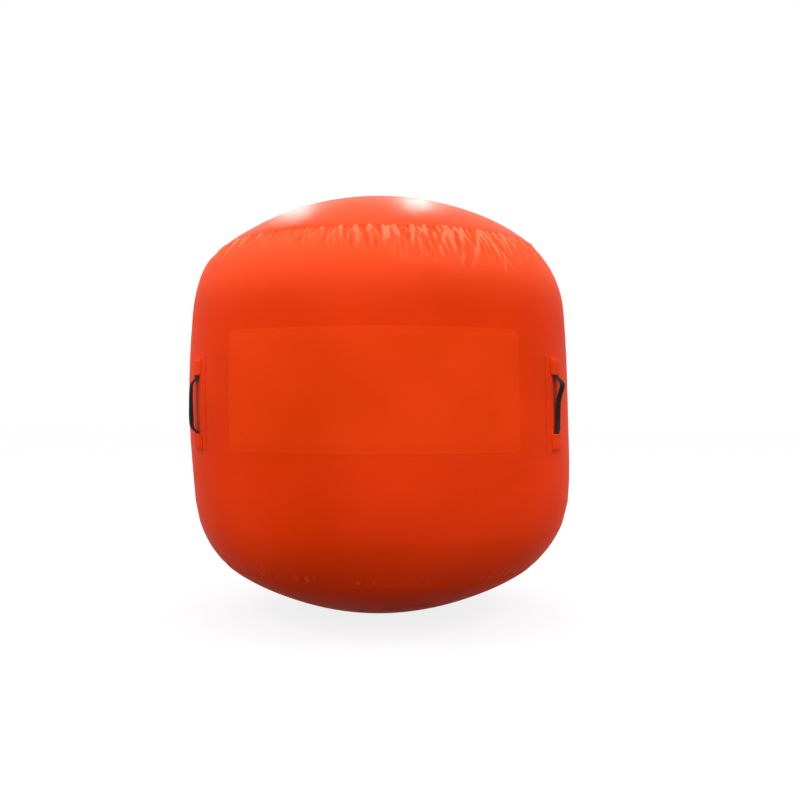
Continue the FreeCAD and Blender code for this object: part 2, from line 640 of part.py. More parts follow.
def check():
    """Stop on any object that failed or any piece without a sound solid."""
    for item in doc.Objects:
        if {"Invalid", "Error"} & set(item.State):
            raise RuntimeError("%s did not rebuild: %s" % (item.Label, item.State))
    for body in PIECES:
        shape = body.Shape
        if shape.isNull() or not shape.isValid() or len(shape.Solids) != 1:
            raise RuntimeError("%s is not one sound solid" % body.Label)


barrel_panel()
barrel_seam_tape()
top_disc()
bottom_disc()
name_panel()
handle("right", "Sizes.handle_turn - 90")
handle("left", "-90 - Sizes.handle_turn")
handle("back", "90")
valve()
mooring()
doc.recompute()
check()
os.makedirs("parts", exist_ok=True)
for body in PIECES:
    body.Shape.exportStep("parts/%s.step" % body.Label)
    box = body.Shape.BoundBox
    print("%-20s volume %11.1f  box %8.2f %8.2f %8.2f  %8.2f %8.2f %8.2f" % (
        body.Label, body.Shape.Volume, box.XMin, box.YMin, box.ZMin, box.XMax, box.YMax, box.ZMax))
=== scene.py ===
# %% [markdown]
# # An inflatable race mark
# A regatta mark is a cylinder of coated fabric with domed ends, pumped up until
# only its seams still pucker. It has three webbing grab handles, a deck valve on
# its crown and a mooring ring underneath. Everything below is in metres in the
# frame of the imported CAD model: +Z up, the floor at nought, the blank name panel
# facing -Y. The CAD gives each piece its place and size; this file gives it its
# cloth, its puckers and its finish.

# %% Load the frame
import math

import bpy
import numpy as np
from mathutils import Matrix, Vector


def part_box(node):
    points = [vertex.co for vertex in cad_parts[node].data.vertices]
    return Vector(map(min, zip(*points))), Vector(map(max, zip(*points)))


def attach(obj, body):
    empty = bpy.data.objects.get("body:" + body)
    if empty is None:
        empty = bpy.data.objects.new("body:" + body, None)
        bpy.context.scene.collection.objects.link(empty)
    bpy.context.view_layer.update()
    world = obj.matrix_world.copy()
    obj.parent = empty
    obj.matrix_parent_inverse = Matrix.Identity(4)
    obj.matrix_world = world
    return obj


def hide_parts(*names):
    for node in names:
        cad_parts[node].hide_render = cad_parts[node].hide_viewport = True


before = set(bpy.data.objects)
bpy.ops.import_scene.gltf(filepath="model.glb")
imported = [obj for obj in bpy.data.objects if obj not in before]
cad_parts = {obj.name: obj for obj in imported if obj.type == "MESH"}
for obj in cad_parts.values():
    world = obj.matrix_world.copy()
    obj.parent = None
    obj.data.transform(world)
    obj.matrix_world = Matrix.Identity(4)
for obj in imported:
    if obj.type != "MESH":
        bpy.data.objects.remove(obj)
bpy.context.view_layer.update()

scene = bpy.context.scene

# %% [markdown]
# ## Camera
# The mark is seen level with its waist from a little over two metres, through a
# moderate lens. A small shift frames it without tilting the camera, so that its
# upright sides stay upright.

# %% Camera
low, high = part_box("barrel_panel")
WAIST_HEIGHT = (low[2] + high[2]) / 2
CAMERA_DISTANCE, CAMERA_TURN = 2.2, math.radians(2.0)
SENSOR, FOCAL_LENGTH, SHIFT = 36.0, 40.6, (0.0269, 0.0056)
lens = bpy.data.cameras.new("camera")
lens.sensor_width, lens.lens = SENSOR, FOCAL_LENGTH
lens.shift_x, lens.shift_y = SHIFT
camera = bpy.data.objects.new("camera", lens)
scene.collection.objects.link(camera)
camera.location = (CAMERA_DISTANCE * math.sin(CAMERA_TURN),
                   -CAMERA_DISTANCE * math.cos(CAMERA_TURN), WAIST_HEIGHT)
camera.rotation_euler = (math.pi / 2, 0.0, CAMERA_TURN)
scene.camera = camera
print("waist at %.4f m" % WAIST_HEIGHT)

# %% [markdown]
# ## Light
# Coated fabric shows its shape by how light slides off it. Most of the light
# here is the even white of the room. One large soft box overhead lifts the crown,
# and three in front shape the sides. Two small lamps high behind the mark graze
# the crown and leave its two glints. The levels are plain: a wall that faces the
# camera gets about as much light as makes a colour look the way it is written.

# %% Lamps
scene.view_settings.view_transform = "Standard"


def soft_box(name, place, aim_height, size, watts):
    """A rectangular lamp at place, turned to face the mark's axis at aim_height."""
    data = bpy.data.lights.new(name, "AREA")
    data.shape, data.size, data.size_y, data.energy = "RECTANGLE", size[0], size[1], watts
    lamp = bpy.data.objects.new(name, data)
    scene.collection.objects.link(lamp)
    lamp.location = place
    look = np.subtract((0.0, 0.0, aim_height), place)
    lamp.rotation_euler = (math.atan2(math.hypot(look[0], look[1]), -look[2]), 0.0,
                           math.atan2(-look[0], look[1]))


# name, place, height it faces on the mark's axis, width and length, watts
LAMPS = [("overhead", (0.2, -0.4, 3.4), 0.9, (1.6, 1.4), 30),
         ("upper_left", (-2.4, -1.4, 3.0), 0.7, (0.8, 0.8), 26),
         ("upper_right", (2.4, -1.2, 3.0), 0.7, (0.8, 0.8), 30),
         ("front_fill", (-1.1, -4.3, 1.5), 0.5, (2.6, 2.0), 29),
         ("glint_left", (-0.86, 2.3, 2.55), 0.95, (0.16, 0.16), 9),
         ("glint_right", (0.30, 2.3, 2.75), 0.95, (0.16, 0.16), 11)]
for lamp in LAMPS:
    soft_box(*lamp)
print(len(LAMPS), "lamps")

# %% [markdown]
# ## White all round
# The backdrop and the floor are pure white to the lens, to mirrors and to glass.
# The white of the floor is mostly its own glow with a share of lit white paint,
# so a faint shadow stays on it. To the light that bounces between surfaces, the
# room is a plain level and the floor a dark grey, which keeps the underside as
# dark as it is over water. The Light Path node tells the two apart.
#
# Every finish is a small graph of nodes. The helper add makes one node and fills
# its sockets: with a link where it is given another node's output, and with a
# plain setting where it is given a number.

# %% Node helpers
def tree_of(owner):
    """An empty node tree on a world or a material."""
    owner.use_nodes = True
    owner.node_tree.nodes.clear()
    return owner.node_tree


def add(tree, kind, sockets=None, **settings):
    """A node of that kind. sockets are links or values, settings are its options."""
    node = tree.nodes.new("ShaderNode" + kind)
    for key, value in settings.items():
        setattr(node, key, value)
    for key, value in (sockets or {}).items():
        if isinstance(value, bpy.types.NodeSocket):
            tree.links.new(value, node.inputs[key])
        else:
            node.inputs[key].default_value = value
    return node


def two_sided(tree, shown, bounced):
    """One shader for camera, mirror and glass rays, another for light that bounces."""
    ray = add(tree, "LightPath").outputs
    seen = ray["Is Camera Ray"]
    for kind in ("Is Glossy Ray", "Is Transmission Ray"):
        seen = add(tree, "Math", {0: seen, 1: ray[kind]}, operation="MAXIMUM").outputs[0]
    return add(tree, "MixShader", {0: seen, 1: bounced, 2: shown}).outputs[0]


# %% Room and floor
WHITE = (1.0, 1.0, 1.0, 1.0)
ROOM_LIGHT, FLOOR_GREY, FLOOR_WHITE, FLOOR_GLOW = 1.05, 0.14, 0.9, 0.83
FLOOR_REACH, FLOOR_DROP = 15.0, 0.0004
world = bpy.data.worlds.new("room")
scene.world = world
tree = tree_of(world)
backdrop = add(tree, "Background", {"Color": WHITE, "Strength": 1.0}).outputs[0]
ambient = add(tree, "Background", {"Color": WHITE, "Strength": ROOM_LIGHT}).outputs[0]
add(tree, "OutputWorld", {"Surface": two_sided(tree, backdrop, ambient)})

floor_mesh = bpy.data.meshes.new("floor")
floor_mesh.from_pydata([(x * FLOOR_REACH, y * FLOOR_REACH, -FLOOR_DROP)
                        for x, y in ((-1, -1), (1, -1), (1, 1), (-1, 1))], [], [(0, 1, 2, 3)])
floor = bpy.data.objects.new("floor", floor_mesh)
scene.collection.objects.link(floor)
floor_paint = bpy.data.materials.new("pale_floor")
tree = tree_of(floor_paint)
matt, pale = (add(tree, "BsdfDiffuse", {"Color": (grey, grey, grey, 1.0)}).outputs[0]
              for grey in (FLOOR_GREY, FLOOR_WHITE))
glow = add(tree, "Emission", {"Color": WHITE, "Strength": 1.0}).outputs[0]
shadowed = add(tree, "MixShader", {0: FLOOR_GLOW, 1: pale, 2: glow}).outputs[0]
add(tree, "OutputMaterial", {"Surface": two_sided(tree, shadowed, matt)})
floor_mesh.materials.append(floor_paint)
print("floor %.0f m across" % (2 * FLOOR_REACH))

# %% [markdown]
# ## The blown-up outline
# Cut flat, the skin is one wide strip and two discs. Blown up, its outline from
# crown to waist is three arcs: a dome, a tight shoulder, and a side that is
# almost straight. Pressed cloth bends only little by little, so they run into
# each other. A point of the skin is named by two numbers: how far it is from the
# crown along the cloth, and how far round the mark it is turned, from the front
# towards +X.

# %% Three arcs
DOME, SHOULDER, SIDE = 0.605, 0.220, 2.700
WAIST, HALF_HEIGHT = 0.450, 0.492
CLOTH, WELD, LAP = 0.0009, 0.0003, 0.028


def arc_ends():
    """Distance along the cloth to the end of each arc. The shoulder touches the other
    two, so its centre lies as far from theirs as their radii differ."""
    dome_z, side_x = HALF_HEIGHT - DOME, WAIST - SIDE
    near, far, apart = DOME - SHOULDER, SIDE - SHOULDER, math.hypot(dome_z, side_x)
    along = (near ** 2 - far ** 2 + apart ** 2) / (2 * apart)
    across = math.sqrt(near ** 2 - along ** 2)
    x = (along * side_x - across * dome_z) / apart
    z = dome_z - (along * dome_z + across * side_x) / apart
    dome_turn, side_turn = math.atan2(z - dome_z, x), math.atan2(z, x - side_x)
    dome_end = DOME * (math.pi / 2 - dome_turn)
    shoulder_end = dome_end + SHOULDER * (dome_turn - side_turn)
    return dome_end, shoulder_end, shoulder_end + SIDE * side_turn


DOME_END, SHOULDER_END, TO_WAIST = arc_ends()
SEAM = DOME_END + LAP
GIRTH = 2 * math.pi * WAIST

# %% Outline by distance along the cloth
BLEND, TABLE_ROWS = 0.030, 3001


def blended_arcs():
    """Tables down the cloth: distance, lean of the outward direction, radius and
    height over the waist. The bend of each arc runs into the next within BLEND of
    where they meet, so no edge shows in the gloss. The lean is a quarter turn less
    the bend summed down to there. The sum of its sine gives the radius and the sum
    of its cosine the way down, both scaled to end at the waist."""
    way = np.linspace(0, TO_WAIST, TABLE_ROWS)
    step = way[1]
    bend = np.where(way < DOME_END, 1 / DOME,
                    np.where(way < SHOULDER_END, 1 / SHOULDER, 1 / SIDE))
    reach = round(BLEND / step)
    window = np.hanning(2 * reach + 1)
    bend = np.convolve(np.pad(bend, reach, "edge"), window / window.sum(), "valid")
    bend *= math.pi / 2 / (step * (bend[1:] + bend[:-1]).sum() / 2)

    def summed(values):
        """Running sum from nought, each step counted by its two ends' average."""
        return np.concatenate([[0], np.cumsum(step * (values[1:] + values[:-1]) / 2)])

    lean = math.pi / 2 - summed(bend)
    out_by, down_by = summed(np.sin(lean)), summed(np.cos(lean))
    return way, lean, out_by * (WAIST / out_by[-1]), HALF_HEIGHT * (1 - down_by / down_by[-1])


ALONG, LEAN, OUT_BY, UP_BY = blended_arcs()


def outline(distance):
    """Radius, height over the waist, and the outward direction (out, up), read off
    the blended arcs; past the waist they come again as their own mirror image."""
    distance = np.asarray(distance, float)
    below = distance > TO_WAIST
    s = np.where(below, 2 * TO_WAIST - distance, distance)
    turn, flip = np.interp(s, ALONG, LEAN), np.where(below, -1, 1)
    return (np.interp(s, ALONG, OUT_BY), flip * np.interp(s, ALONG, UP_BY),
            np.cos(turn), flip * np.sin(turn))


print("along the cloth: crown to seam %.3f m, crown to waist %.3f m" % (SEAM, TO_WAIST))

# %% [markdown]
# ## Puckers at the seams
# The strip is a little longer round than the disc it is welded to, so it is
# gathered at the seam, and the gathers fade down the side. Drawn lines would
# look drawn, so a small cloth simulation is written out here instead: a net of
# threads that keep their own lengths, held tight lengthwise by the air, with
# spare length round the seam. Where the spare length goes is not told to it. The
# net buckles by itself into short pleats that fork and meet.
#
# The welding bar also pinches the cloth into short sharp folds, often two that
# make a V. The net doesn't make those, so they are added after it: each is a
# small ridge with a dip beside it, and more of them start where there is more
# spare length.

# %% Where the cloth has length to spare
ROUND, STEP, ROWS_ABOVE, ROWS_BELOW = 900, 0.005, 10, 43
# share of spare length at the weld and how soon it fades below; the same for the disc
SPARE, SPARE_FADE, DISC_SHARE, DISC_FADE = 0.085, 0.060, 0.25, 0.015
net_s = SEAM + STEP * np.arange(-ROWS_ABOVE, ROWS_BELOW)
# degrees from the front, share of the spare length: no two hand-welded seams agree
SPARE_ROUND = [(-180, 1.1), (-150, 0.7), (-120, 1.1), (-95, 0.8), (-72, 0.5), (-58, 0.9),
               (-45, 0.9), (-34, 0.3), (-24, 0.5), (-12, 0.9), (0, 1.2), (20, 1.35),
               (38, 1.25), (52, 1.1), (75, 0.6), (100, 1.1), (130, 0.6), (160, 1.0), (180, 1.1)]


def ring_turns(count):
    """Turns round the mark, in radians, evenly spaced."""
    return np.arange(count) * 2 * np.pi / count


turns = ring_turns(ROUND)


def swung(r, turn, *z):
    """Radius and turn as x and y; with z, as points: nought faces -Y, a quarter +X."""
    return np.stack([r * np.sin(turn), -r * np.cos(turn), *z], -1)


def soften(x):
    """Smooth step from 0 to 1: three x squared less two x cubed."""
    x = np.clip(x, 0, 1)
    return x * x * (3 - 2 * x)


def round_the_mark(pairs):
    """The pairs (degrees, value) read off at every turn by straight lines between them."""
    at = (np.degrees(turns) + 180) % 360 - 180
    return np.interp(at, *np.array(pairs, float).T)


def unit(vectors):
    """The vectors divided by their own lengths."""
    return vectors / np.linalg.norm(vectors, axis=-1, keepdims=True)


# %% Gather the net
NET_STEPS, BENDING, KEPT_SPEED, WOBBLE = 700, np.float32(0.04), np.float32(0.92), 0.0006


def pull(grid, first, second, length):
    """Move both ends of each thread half way towards or away until it is its own length."""
    gap = grid[second] - grid[first]
    now = np.sqrt((gap * gap).sum(-1))
    shift = (0.5 * (1 - length / now))[..., None].astype(np.float32) * gap
    grid[first] += shift
    grid[second] -= shift


def gather(seed):
    """Height of the pleats over the smooth skin, in metres. It starts from a faint
    seeded wobble and repeats NET_STEPS times: carry on moving, straighten a little,
    pull every thread to its length, and take away each row's average, so that the
    mark keeps its outline."""
    r, z, _, _ = outline(net_s)
    fade = np.where(net_s >= SEAM - 1e-6, np.exp(-(net_s - SEAM) / SPARE_FADE),
                    DISC_SHARE * np.exp(-(SEAM - net_s) / DISC_FADE))
    # nothing to spare at the net's two ends, where it joins the smooth skin
    fade[-8:] *= np.linspace(1, 0, 8)
    fade[:3] *= np.linspace(0, 1, 3)
    spare = SPARE * fade[:, None] * round_the_mark(SPARE_ROUND)[None, :]
    smooth = swung(r[:, None], turns, np.repeat(z[:, None], ROUND, 1)).astype(np.float32)
    round_it = np.roll(smooth, -1, 1) - np.roll(smooth, 1, 1)
    out = unit(np.cross(np.gradient(smooth, axis=0), round_it)).astype(np.float32)
    wobble = np.random.default_rng(seed).normal(size=(len(net_s), ROUND))
    for _ in range(5):
        wobble = (wobble + np.roll(wobble, 1, 1) + np.roll(wobble, -1, 1)) / 3
    for _ in range(6):
        wobble[1:-1] = (wobble[1:-1] + wobble[:-2] + wobble[2:]) / 3
    wobble *= WOBBLE / wobble.std()
    grid = (smooth + out * (wobble * fade[:, None])[..., None]).astype(np.float32)
    length = ((2 * np.pi * r / ROUND)[:, None] * (1 + spare)).astype(np.float32)

    def bent(points):
        """From each point to the middle of its neighbours round the mark."""
        return (np.roll(points, 1, 1) + np.roll(points, -1, 1)) / 2 - points

    own_bend, before, rows = bent(smooth), grid.copy(), slice(None)
    for _ in range(NET_STEPS):
        moved = grid + (grid - before) * KEPT_SPEED
        before = grid
        grid = moved + BENDING * (bent(grid) - own_bend)
        for odd in (0, 1):
            upper = np.arange(odd, len(net_s) - 1, 2)
            pull(grid, (upper,), (upper + 1,), STEP)
        for odd in (0, 1):
            left = np.arange(odd, ROUND, 2)
            pull(grid, (rows, left), (rows, (left + 1) % ROUND), length[:, left])
        drift = ((grid - smooth) * out).sum(-1).mean(1)
        grid -= out * drift[:, None, None]
        grid[:2], grid[-2:] = smooth[:2], smooth[-2:]
    return ((grid - smooth) * out).sum(-1)


# %% Short folds at the weld
CREASES, PAIR_SPREAD, RISE = 300, 0.004, 0.006
SLANT, SLANT_SPREAD, SHORTEST, LENGTH_SPREAD = 0.30, 0.16, 0.018, 0.014
NARROWEST, WIDEST, LOWEST, HIGHEST = 0.0034, 0.0066, 0.0008, 0.0028
DIP_DEPTH, DIP_BESIDE = 0.6, 1.7


def creases(seed):
    """Height of the short folds. They start on the weld in pairs, one leaning each
    way, rise in the first RISE of cloth and fade to nothing at their end."""
    rng = np.random.default_rng(seed)
    likely = round_the_mark(SPARE_ROUND) ** 2
    pairs = rng.choice(turns, CREASES // 2, p=likely / likely.sum())
    start = np.repeat(pairs, 2) + rng.normal(0, PAIR_SPREAD, CREASES)
    lean = np.tile([1, -1], CREASES // 2)
    slant = np.abs(rng.normal(SLANT, SLANT_SPREAD, CREASES)) * lean
    long = SHORTEST + rng.gamma(2.0, LENGTH_SPREAD, CREASES)
    wide = rng.uniform(NARROWEST, WIDEST, CREASES)
    high = rng.uniform(LOWEST, HIGHEST, CREASES)
    radius, down = outline(net_s)[0], net_s - SEAM
    height = np.zeros((len(net_s), ROUND), np.float32)
    for k in range(CREASES):
        x = ((turns - start[k] + np.pi) % (2 * np.pi) - np.pi)[None, :] * radius[:, None]
        off = (x - down[:, None] * math.tan(slant[k])) * math.cos(slant[k]) / wide[k]
        size = high[k] * soften((down + 0.002) / RISE) * np.clip(1 - down / long[k], 0, 1)
        dip = DIP_DEPTH * np.exp(-(off - DIP_BESIDE * lean[k]) ** 2)
        height += size[:, None] * (np.exp(-off ** 2) - dip)
    return height - height.mean(1, keepdims=True)


pleats = gather(5) + creases(11)
print("pleats stand %.1f mm at most" % (np.abs(pleats).max() * 1000))

# %% [markdown]
# ## One skin that everything follows
# The puckers, the slow unevenness of a hand-welded body and the places where the
# air pushes it a little fuller are one height over the smooth outline. Every
# layer that is welded on, from the name panel to the handles, is placed through
# the same function at its own small lift, so it follows the skin under it and
# nothing floats or sinks.

# %% Height of the real skin over the smooth outline
LOWER_SHARE, LOWER_TURN, FULL_FOLD = 0.35, 2.3, 0.0016
# waves round the mark, height in metres, place of the first crest
SWELLS = [(2, 0.0009, 0.7), (3, 0.0008, 2.1), (5, 0.0005, 4.0), (8, 0.0003, 1.2)]
# fuller places: distance along the cloth, its spread, degrees round, their spread, height
FULLER = [(1.00, 0.15, 82, 50, 0.0115), (0.99, 0.14, -82, 50, -0.0050),
          (0.455, 0.050, -84, 24, 0.0075), (0.31, 0.11, 82, 45, 0.0045),
          (1.21, 0.09, 0, 400, 0.0040)]


def net_height(s, turn):
    """The pleats read between the net's rows and threads, nought off the net."""
    row = np.clip((s - net_s[0]) / STEP, 0, len(net_s) - 1.001)
    col = (turn / (2 * np.pi) * ROUND) % ROUND
    i, j = row.astype(int), col.astype(int)
    down, on = row - i, col - j
    j, k = j % ROUND, (j + 1) % ROUND
    above, under = (pleats[n, j] * (1 - on) + pleats[n, k] * on for n in (i, i + 1))
    return above * (1 - down) + under * down


def both_seams(s, turn, lower_share):
    """The pleats of the upper seam, and the same net turned, upside down and at a
    share of its height for the lower one."""
    return net_height(s, turn) + lower_share * net_height(2 * TO_WAIST - s, LOWER_TURN - turn)


def matched(*values):
    """The values as arrays of numbers of one shape."""
    return np.broadcast_arrays(*(np.asarray(value, float) for value in values))


def ripple(s, turn):
    """Pleats under both seams, plus slow swells round the mark, plus the fuller places."""
    s, turn = matched(s, turn)
    height = both_seams(s, turn, LOWER_SHARE)
    inside = np.sin(np.pi * np.clip(s / (2 * TO_WAIST), 0, 1)) ** 2
    for waves, size, lag in SWELLS:
        height = height + size * inside * np.cos(waves * turn + lag + 3 * s)
    for place, spread, degrees, width, size in FULLER:
        off = (np.degrees(turn) - degrees + 180) % 360 - 180
        height = height + size * np.exp(-((s - place) / spread) ** 2 - (off / width) ** 2)
    return height


def folds(s, turn):
    """How far a place is up on a fold (to 1) or down in one (to -1). The lower seam's
    folds count for half."""
    return np.clip(both_seams(*matched(s, turn), 0.5 * LOWER_SHARE) / FULL_FOLD, -1, 1)


def skin(s, turn, lift=0.0):
    """The point of the skin at distance s and turn, lifted off the strip's outer face."""
    s, turn, lift = matched(s, turn, lift)
    r, z, out, up = outline(s)
    lift = lift + ripple(s, turn)
    return swung(r + lift * out, turn, z + lift * up + WAIST_HEIGHT)


def at_height(z):
    """Distance along the cloth of a height over the waist, on the side's long arc."""
    return TO_WAIST - SIDE * np.arcsin(np.asarray(z, float) / SIDE)


print("the skin stands %.1f mm out at its fullest" % (1000 * ripple(FULLER[0][0], turns).max()))

# %% [markdown]
# ## From rows of points to a closed layer
# Cloth is thin but it is not nothing. Each layer here is an outer and an inner
# surface, given as rows of points, joined round their rims into one closed
# solid. Neighbouring rows may have different numbers of points, so a disc can
# be fine at its puckered edge and coarse at its middle. Every point also knows
# its place on the flat cloth, in metres, and that becomes the UV map that the
# weave follows.

# %% Rows into faces
def band(a, b, wrap=True):
    """Faces between a row of point numbers and the next row. Where one row has a
    whole number of times the other's points, each coarse edge fans out to them."""
    if not wrap:
        return [np.stack([a[:-1], b[:-1], b[1:], a[1:]], -1)]
    a_next, b_next = np.roll(a, -1), np.roll(b, -1)
    if len(a) == len(b):
        return [np.stack([a, b, b_next, a_next], -1)]
    if len(a) > len(b):
        share = len(a) // len(b)
        return [np.stack([a, np.repeat(b, share), a_next], -1),
                np.stack([np.roll(a[::share], -1), b, b_next], -1)]
    share = len(b) // len(a)
    return [np.stack([np.repeat(a, share), b, b_next], -1),
            np.stack([a, np.roll(b[::share], -1), a_next], -1)]


def fan(middle, ring, side):
    """Triangles from a middle point to a ring of points, taken one way round."""
    return np.stack([np.full(len(ring), middle), ring, np.roll(ring, side)], -1)


# %% Faces into an object
SHARP = math.radians(50)


def mesh_piece(name, points, faces, flat):
    """A smooth-shaded object from points (n, 3), arrays of faces and each point's
    place on the flat cloth (n, 2). A face across the joint of a full turn has its
    low corners moved on by one turn, so the weave runs through."""
    corners = np.concatenate([f.ravel() for f in faces])
    sizes = np.concatenate([np.full(len(f), f.shape[1]) for f in faces])
    mesh = bpy.data.meshes.new(name)
    mesh.vertices.add(len(points))
    mesh.vertices.foreach_set("co", np.ascontiguousarray(points, np.float32).ravel())
    mesh.loops.add(len(corners))
    mesh.loops.foreach_set("vertex_index", corners.astype(np.int32))
    mesh.polygons.add(len(sizes))
    mesh.polygons.foreach_set("loop_start", (np.cumsum(sizes) - sizes).astype(np.int32))
    mesh.update(calc_edges=True)
    mesh.polygons.foreach_set("use_smooth", np.ones(len(sizes), bool))
    places = []
    for f in faces:
        own = flat[f].copy()
        x = own[..., 0]
        jump = (x.max(1) - x.min(1))[:, None] > GIRTH / 2
        x += GIRTH * (jump & (x < x.max(1, keepdims=True) - GIRTH / 2))
        places.append(own.reshape(-1, 2))
    cloth = mesh.uv_layers.new(name="cloth")
    cloth.uv.foreach_set("vector", np.concatenate(places).astype(np.float32).ravel())
    mesh.set_sharp_from_angle(angle=SHARP)
    piece = bpy.data.objects.new(name, mesh)
    scene.collection.objects.link(piece)
    tri = points[np.concatenate([f[:, [0, k, k + 1]] for f in faces
                                 for k in range(1, f.shape[1] - 1)])]
    holds = np.einsum("ij,ij->i", tri[:, 0], np.cross(tri[:, 1], tri[:, 2])).sum() / 6
    print("%-22s %6d triangles, %8.2f ml of material" % (name, len(tri), holds * 1e6))
    return piece


# %% Two faces into a closed layer
def layer(name, outer, inner, flat_outer, flat_inner=None, wrap=True, closed_middle=False):
    """A closed sheet from the rows of its two faces and their places on the flat
    cloth (one for both, if only one is given). Rims join the first rows and the last
    rows; with a closed middle the last rows, round the middle of a disc, get a fan
    each instead. An open sheet (wrap False) is closed along its sides as well."""
    flat_inner = flat_outer if flat_inner is None else flat_inner
    points, flat = [*outer, *inner], [*flat_outer, *flat_inner]
    start = np.cumsum([0] + [len(row) for row in points])
    rows = [first + np.arange(len(row)) for first, row in zip(start, points)]
    out, back = rows[:len(outer)], rows[len(outer):]
    faces = [f for a, b in zip(out, out[1:]) for f in band(a, b, wrap)]
    faces += [f[:, ::-1] for a, b in zip(back, back[1:]) for f in band(a, b, wrap)]
    if closed_middle:
        points += [face[-1].mean(0)[None] for face in (outer, inner)]
        flat += [place[-1].mean(0)[None] for place in (flat_outer, flat_inner)]
        faces += [fan(start[-1], out[-1], 1), fan(start[-1] + 1, back[-1], -1)]
    faces += [f[:, ::-1] for f in band(out[0], back[0], wrap)]
    if not closed_middle:
        faces += band(out[-1], back[-1], wrap)
    if not wrap:
        for edge, side in ((0, 1), (-1, -1)):
            near, far = (np.array([row[edge] for row in face]) for face in (out, back))
            faces += [f[:, ::side] for f in band(near, far, wrap=False)]
    return mesh_piece(name, np.concatenate(points), faces, np.concatenate(flat))


# %% What every piece says about itself
def mark(piece, name, values):
    """Keep a number for each point of the outer face as an attribute, such as how
    far it is up on a fold, or how far in from the edge of its sheet."""
    marks = np.zeros(len(piece.data.vertices), np.float32)
    marks[:values.size] = values.ravel()
    piece.data.attributes.new(name, "FLOAT", "POINT").data.foreach_set("value", marks)
    return piece


def ride_on(piece, body, slot, *nodes):
    """Say which body carries a piece and hide the CAD nodes it stands for; slot, its finish, is
    not used.
    """
    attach(piece, body)
    if nodes:
        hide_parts(*nodes)
    return piece


def welded(piece, node):
    """A sheet of the hull's fabric, and the node it stands for."""
    ride_on(piece, "hull", "pvc_skin", node)


# %% [markdown]
# ## The strip round the side
# This is the big sheet, held stretched by the air. Its rows are close together
# where it puckers and far apart where it is smooth. The inner face needs only
# enough points to stay inside the outer one.

# %% Barrel
FINE_UNDER_TOP, FINE_OVER_FOOT, WIDE_ROWS = 0.185, 0.115, 11


def round_flat(s, turn):
    """Place on the flat strip: length round the waist, distance along."""
    s, turn = matched(s, turn)
    return np.stack([turn * WAIST, s], -1)


upper = np.arange(DOME_END, SEAM + FINE_UNDER_TOP, STEP)
lower = 2 * TO_WAIST - np.arange(DOME_END, SEAM + FINE_OVER_FOOT, STEP)[::-1]
middle = np.linspace(upper[-1], lower[0], WIDE_ROWS)[1:-1]
outer_s = np.concatenate([upper, middle, lower])
inner_s = np.unique(np.concatenate([upper[::2], middle[::2], lower[::2], lower[-1:]]))
few = ring_turns(ROUND // 2)
barrel = layer("barrel_skin", [skin(s, turns) for s in outer_s],
               [skin(s, few, -CLOTH) for s in inner_s],
               [round_flat(s, turns) for s in outer_s], [round_flat(s, few) for s in inner_s])
mark(barrel, "fold", np.concatenate([folds(s, turns) for s in outer_s]))
welded(barrel, "barrel_panel")

# %% [markdown]
# ## The end discs
# Each disc is welded over the edge of the strip, and its own edge is pressed
# thin by the weld. The upper one is flat where the valve sits. The lower one has
# a flat ring to stand on, and a shallow hollow inside it that keeps the mooring
# ring off the floor. Only the outer edge follows the puckers, so the rings of
# points thin out towards the middle.

# %% Discs
SEAT, FOOT_IN, FOOT_OUT, DIMPLE, DIMPLE_DEPTH = 0.046, 0.060, 0.072, 0.041, 0.0125
VALVE_HOLE, FOOT_MARGIN = 0.026, 0.002
PRESSED, PRESS_WIDTH, CALM, CALM_FADE = 0.2, 0.012, 0.09, 0.13
# rows 2 mm apart round the fittings, 12 mm over the dome, and 4 mm near the rim
FITTINGS, RIM = 0.092, 0.048


def disc_outline(s, lift, top):
    """Outline of a disc with its flat seat, or with its foot and hollow. Each corner
    is eased by averaging every step away from the dome with its neighbours."""
    r, z, out, up = outline(s)
    r, z = r + lift * out, z + lift * up
    if top:
        away = np.minimum(z, np.interp(SEAT, r, z)) - z
    else:
        foot = np.interp(FOOT_OUT, r, z)
        hollow = np.interp(r, [DIMPLE, FOOT_IN], [foot - DIMPLE_DEPTH, foot])
        away = np.where(r < FOOT_OUT, hollow - z, 0)
    for _ in range(2):
        away[1:-1] = (away[:-2] + 2 * away[1:-1] + away[2:]) / 4
    eased = z + away
    if not top:
        on_foot = (r > FOOT_IN + FOOT_MARGIN) & (r < FOOT_OUT - FOOT_MARGIN)
        eased = np.where(on_foot, foot, np.minimum(eased, foot))
    return r, eased, out, up


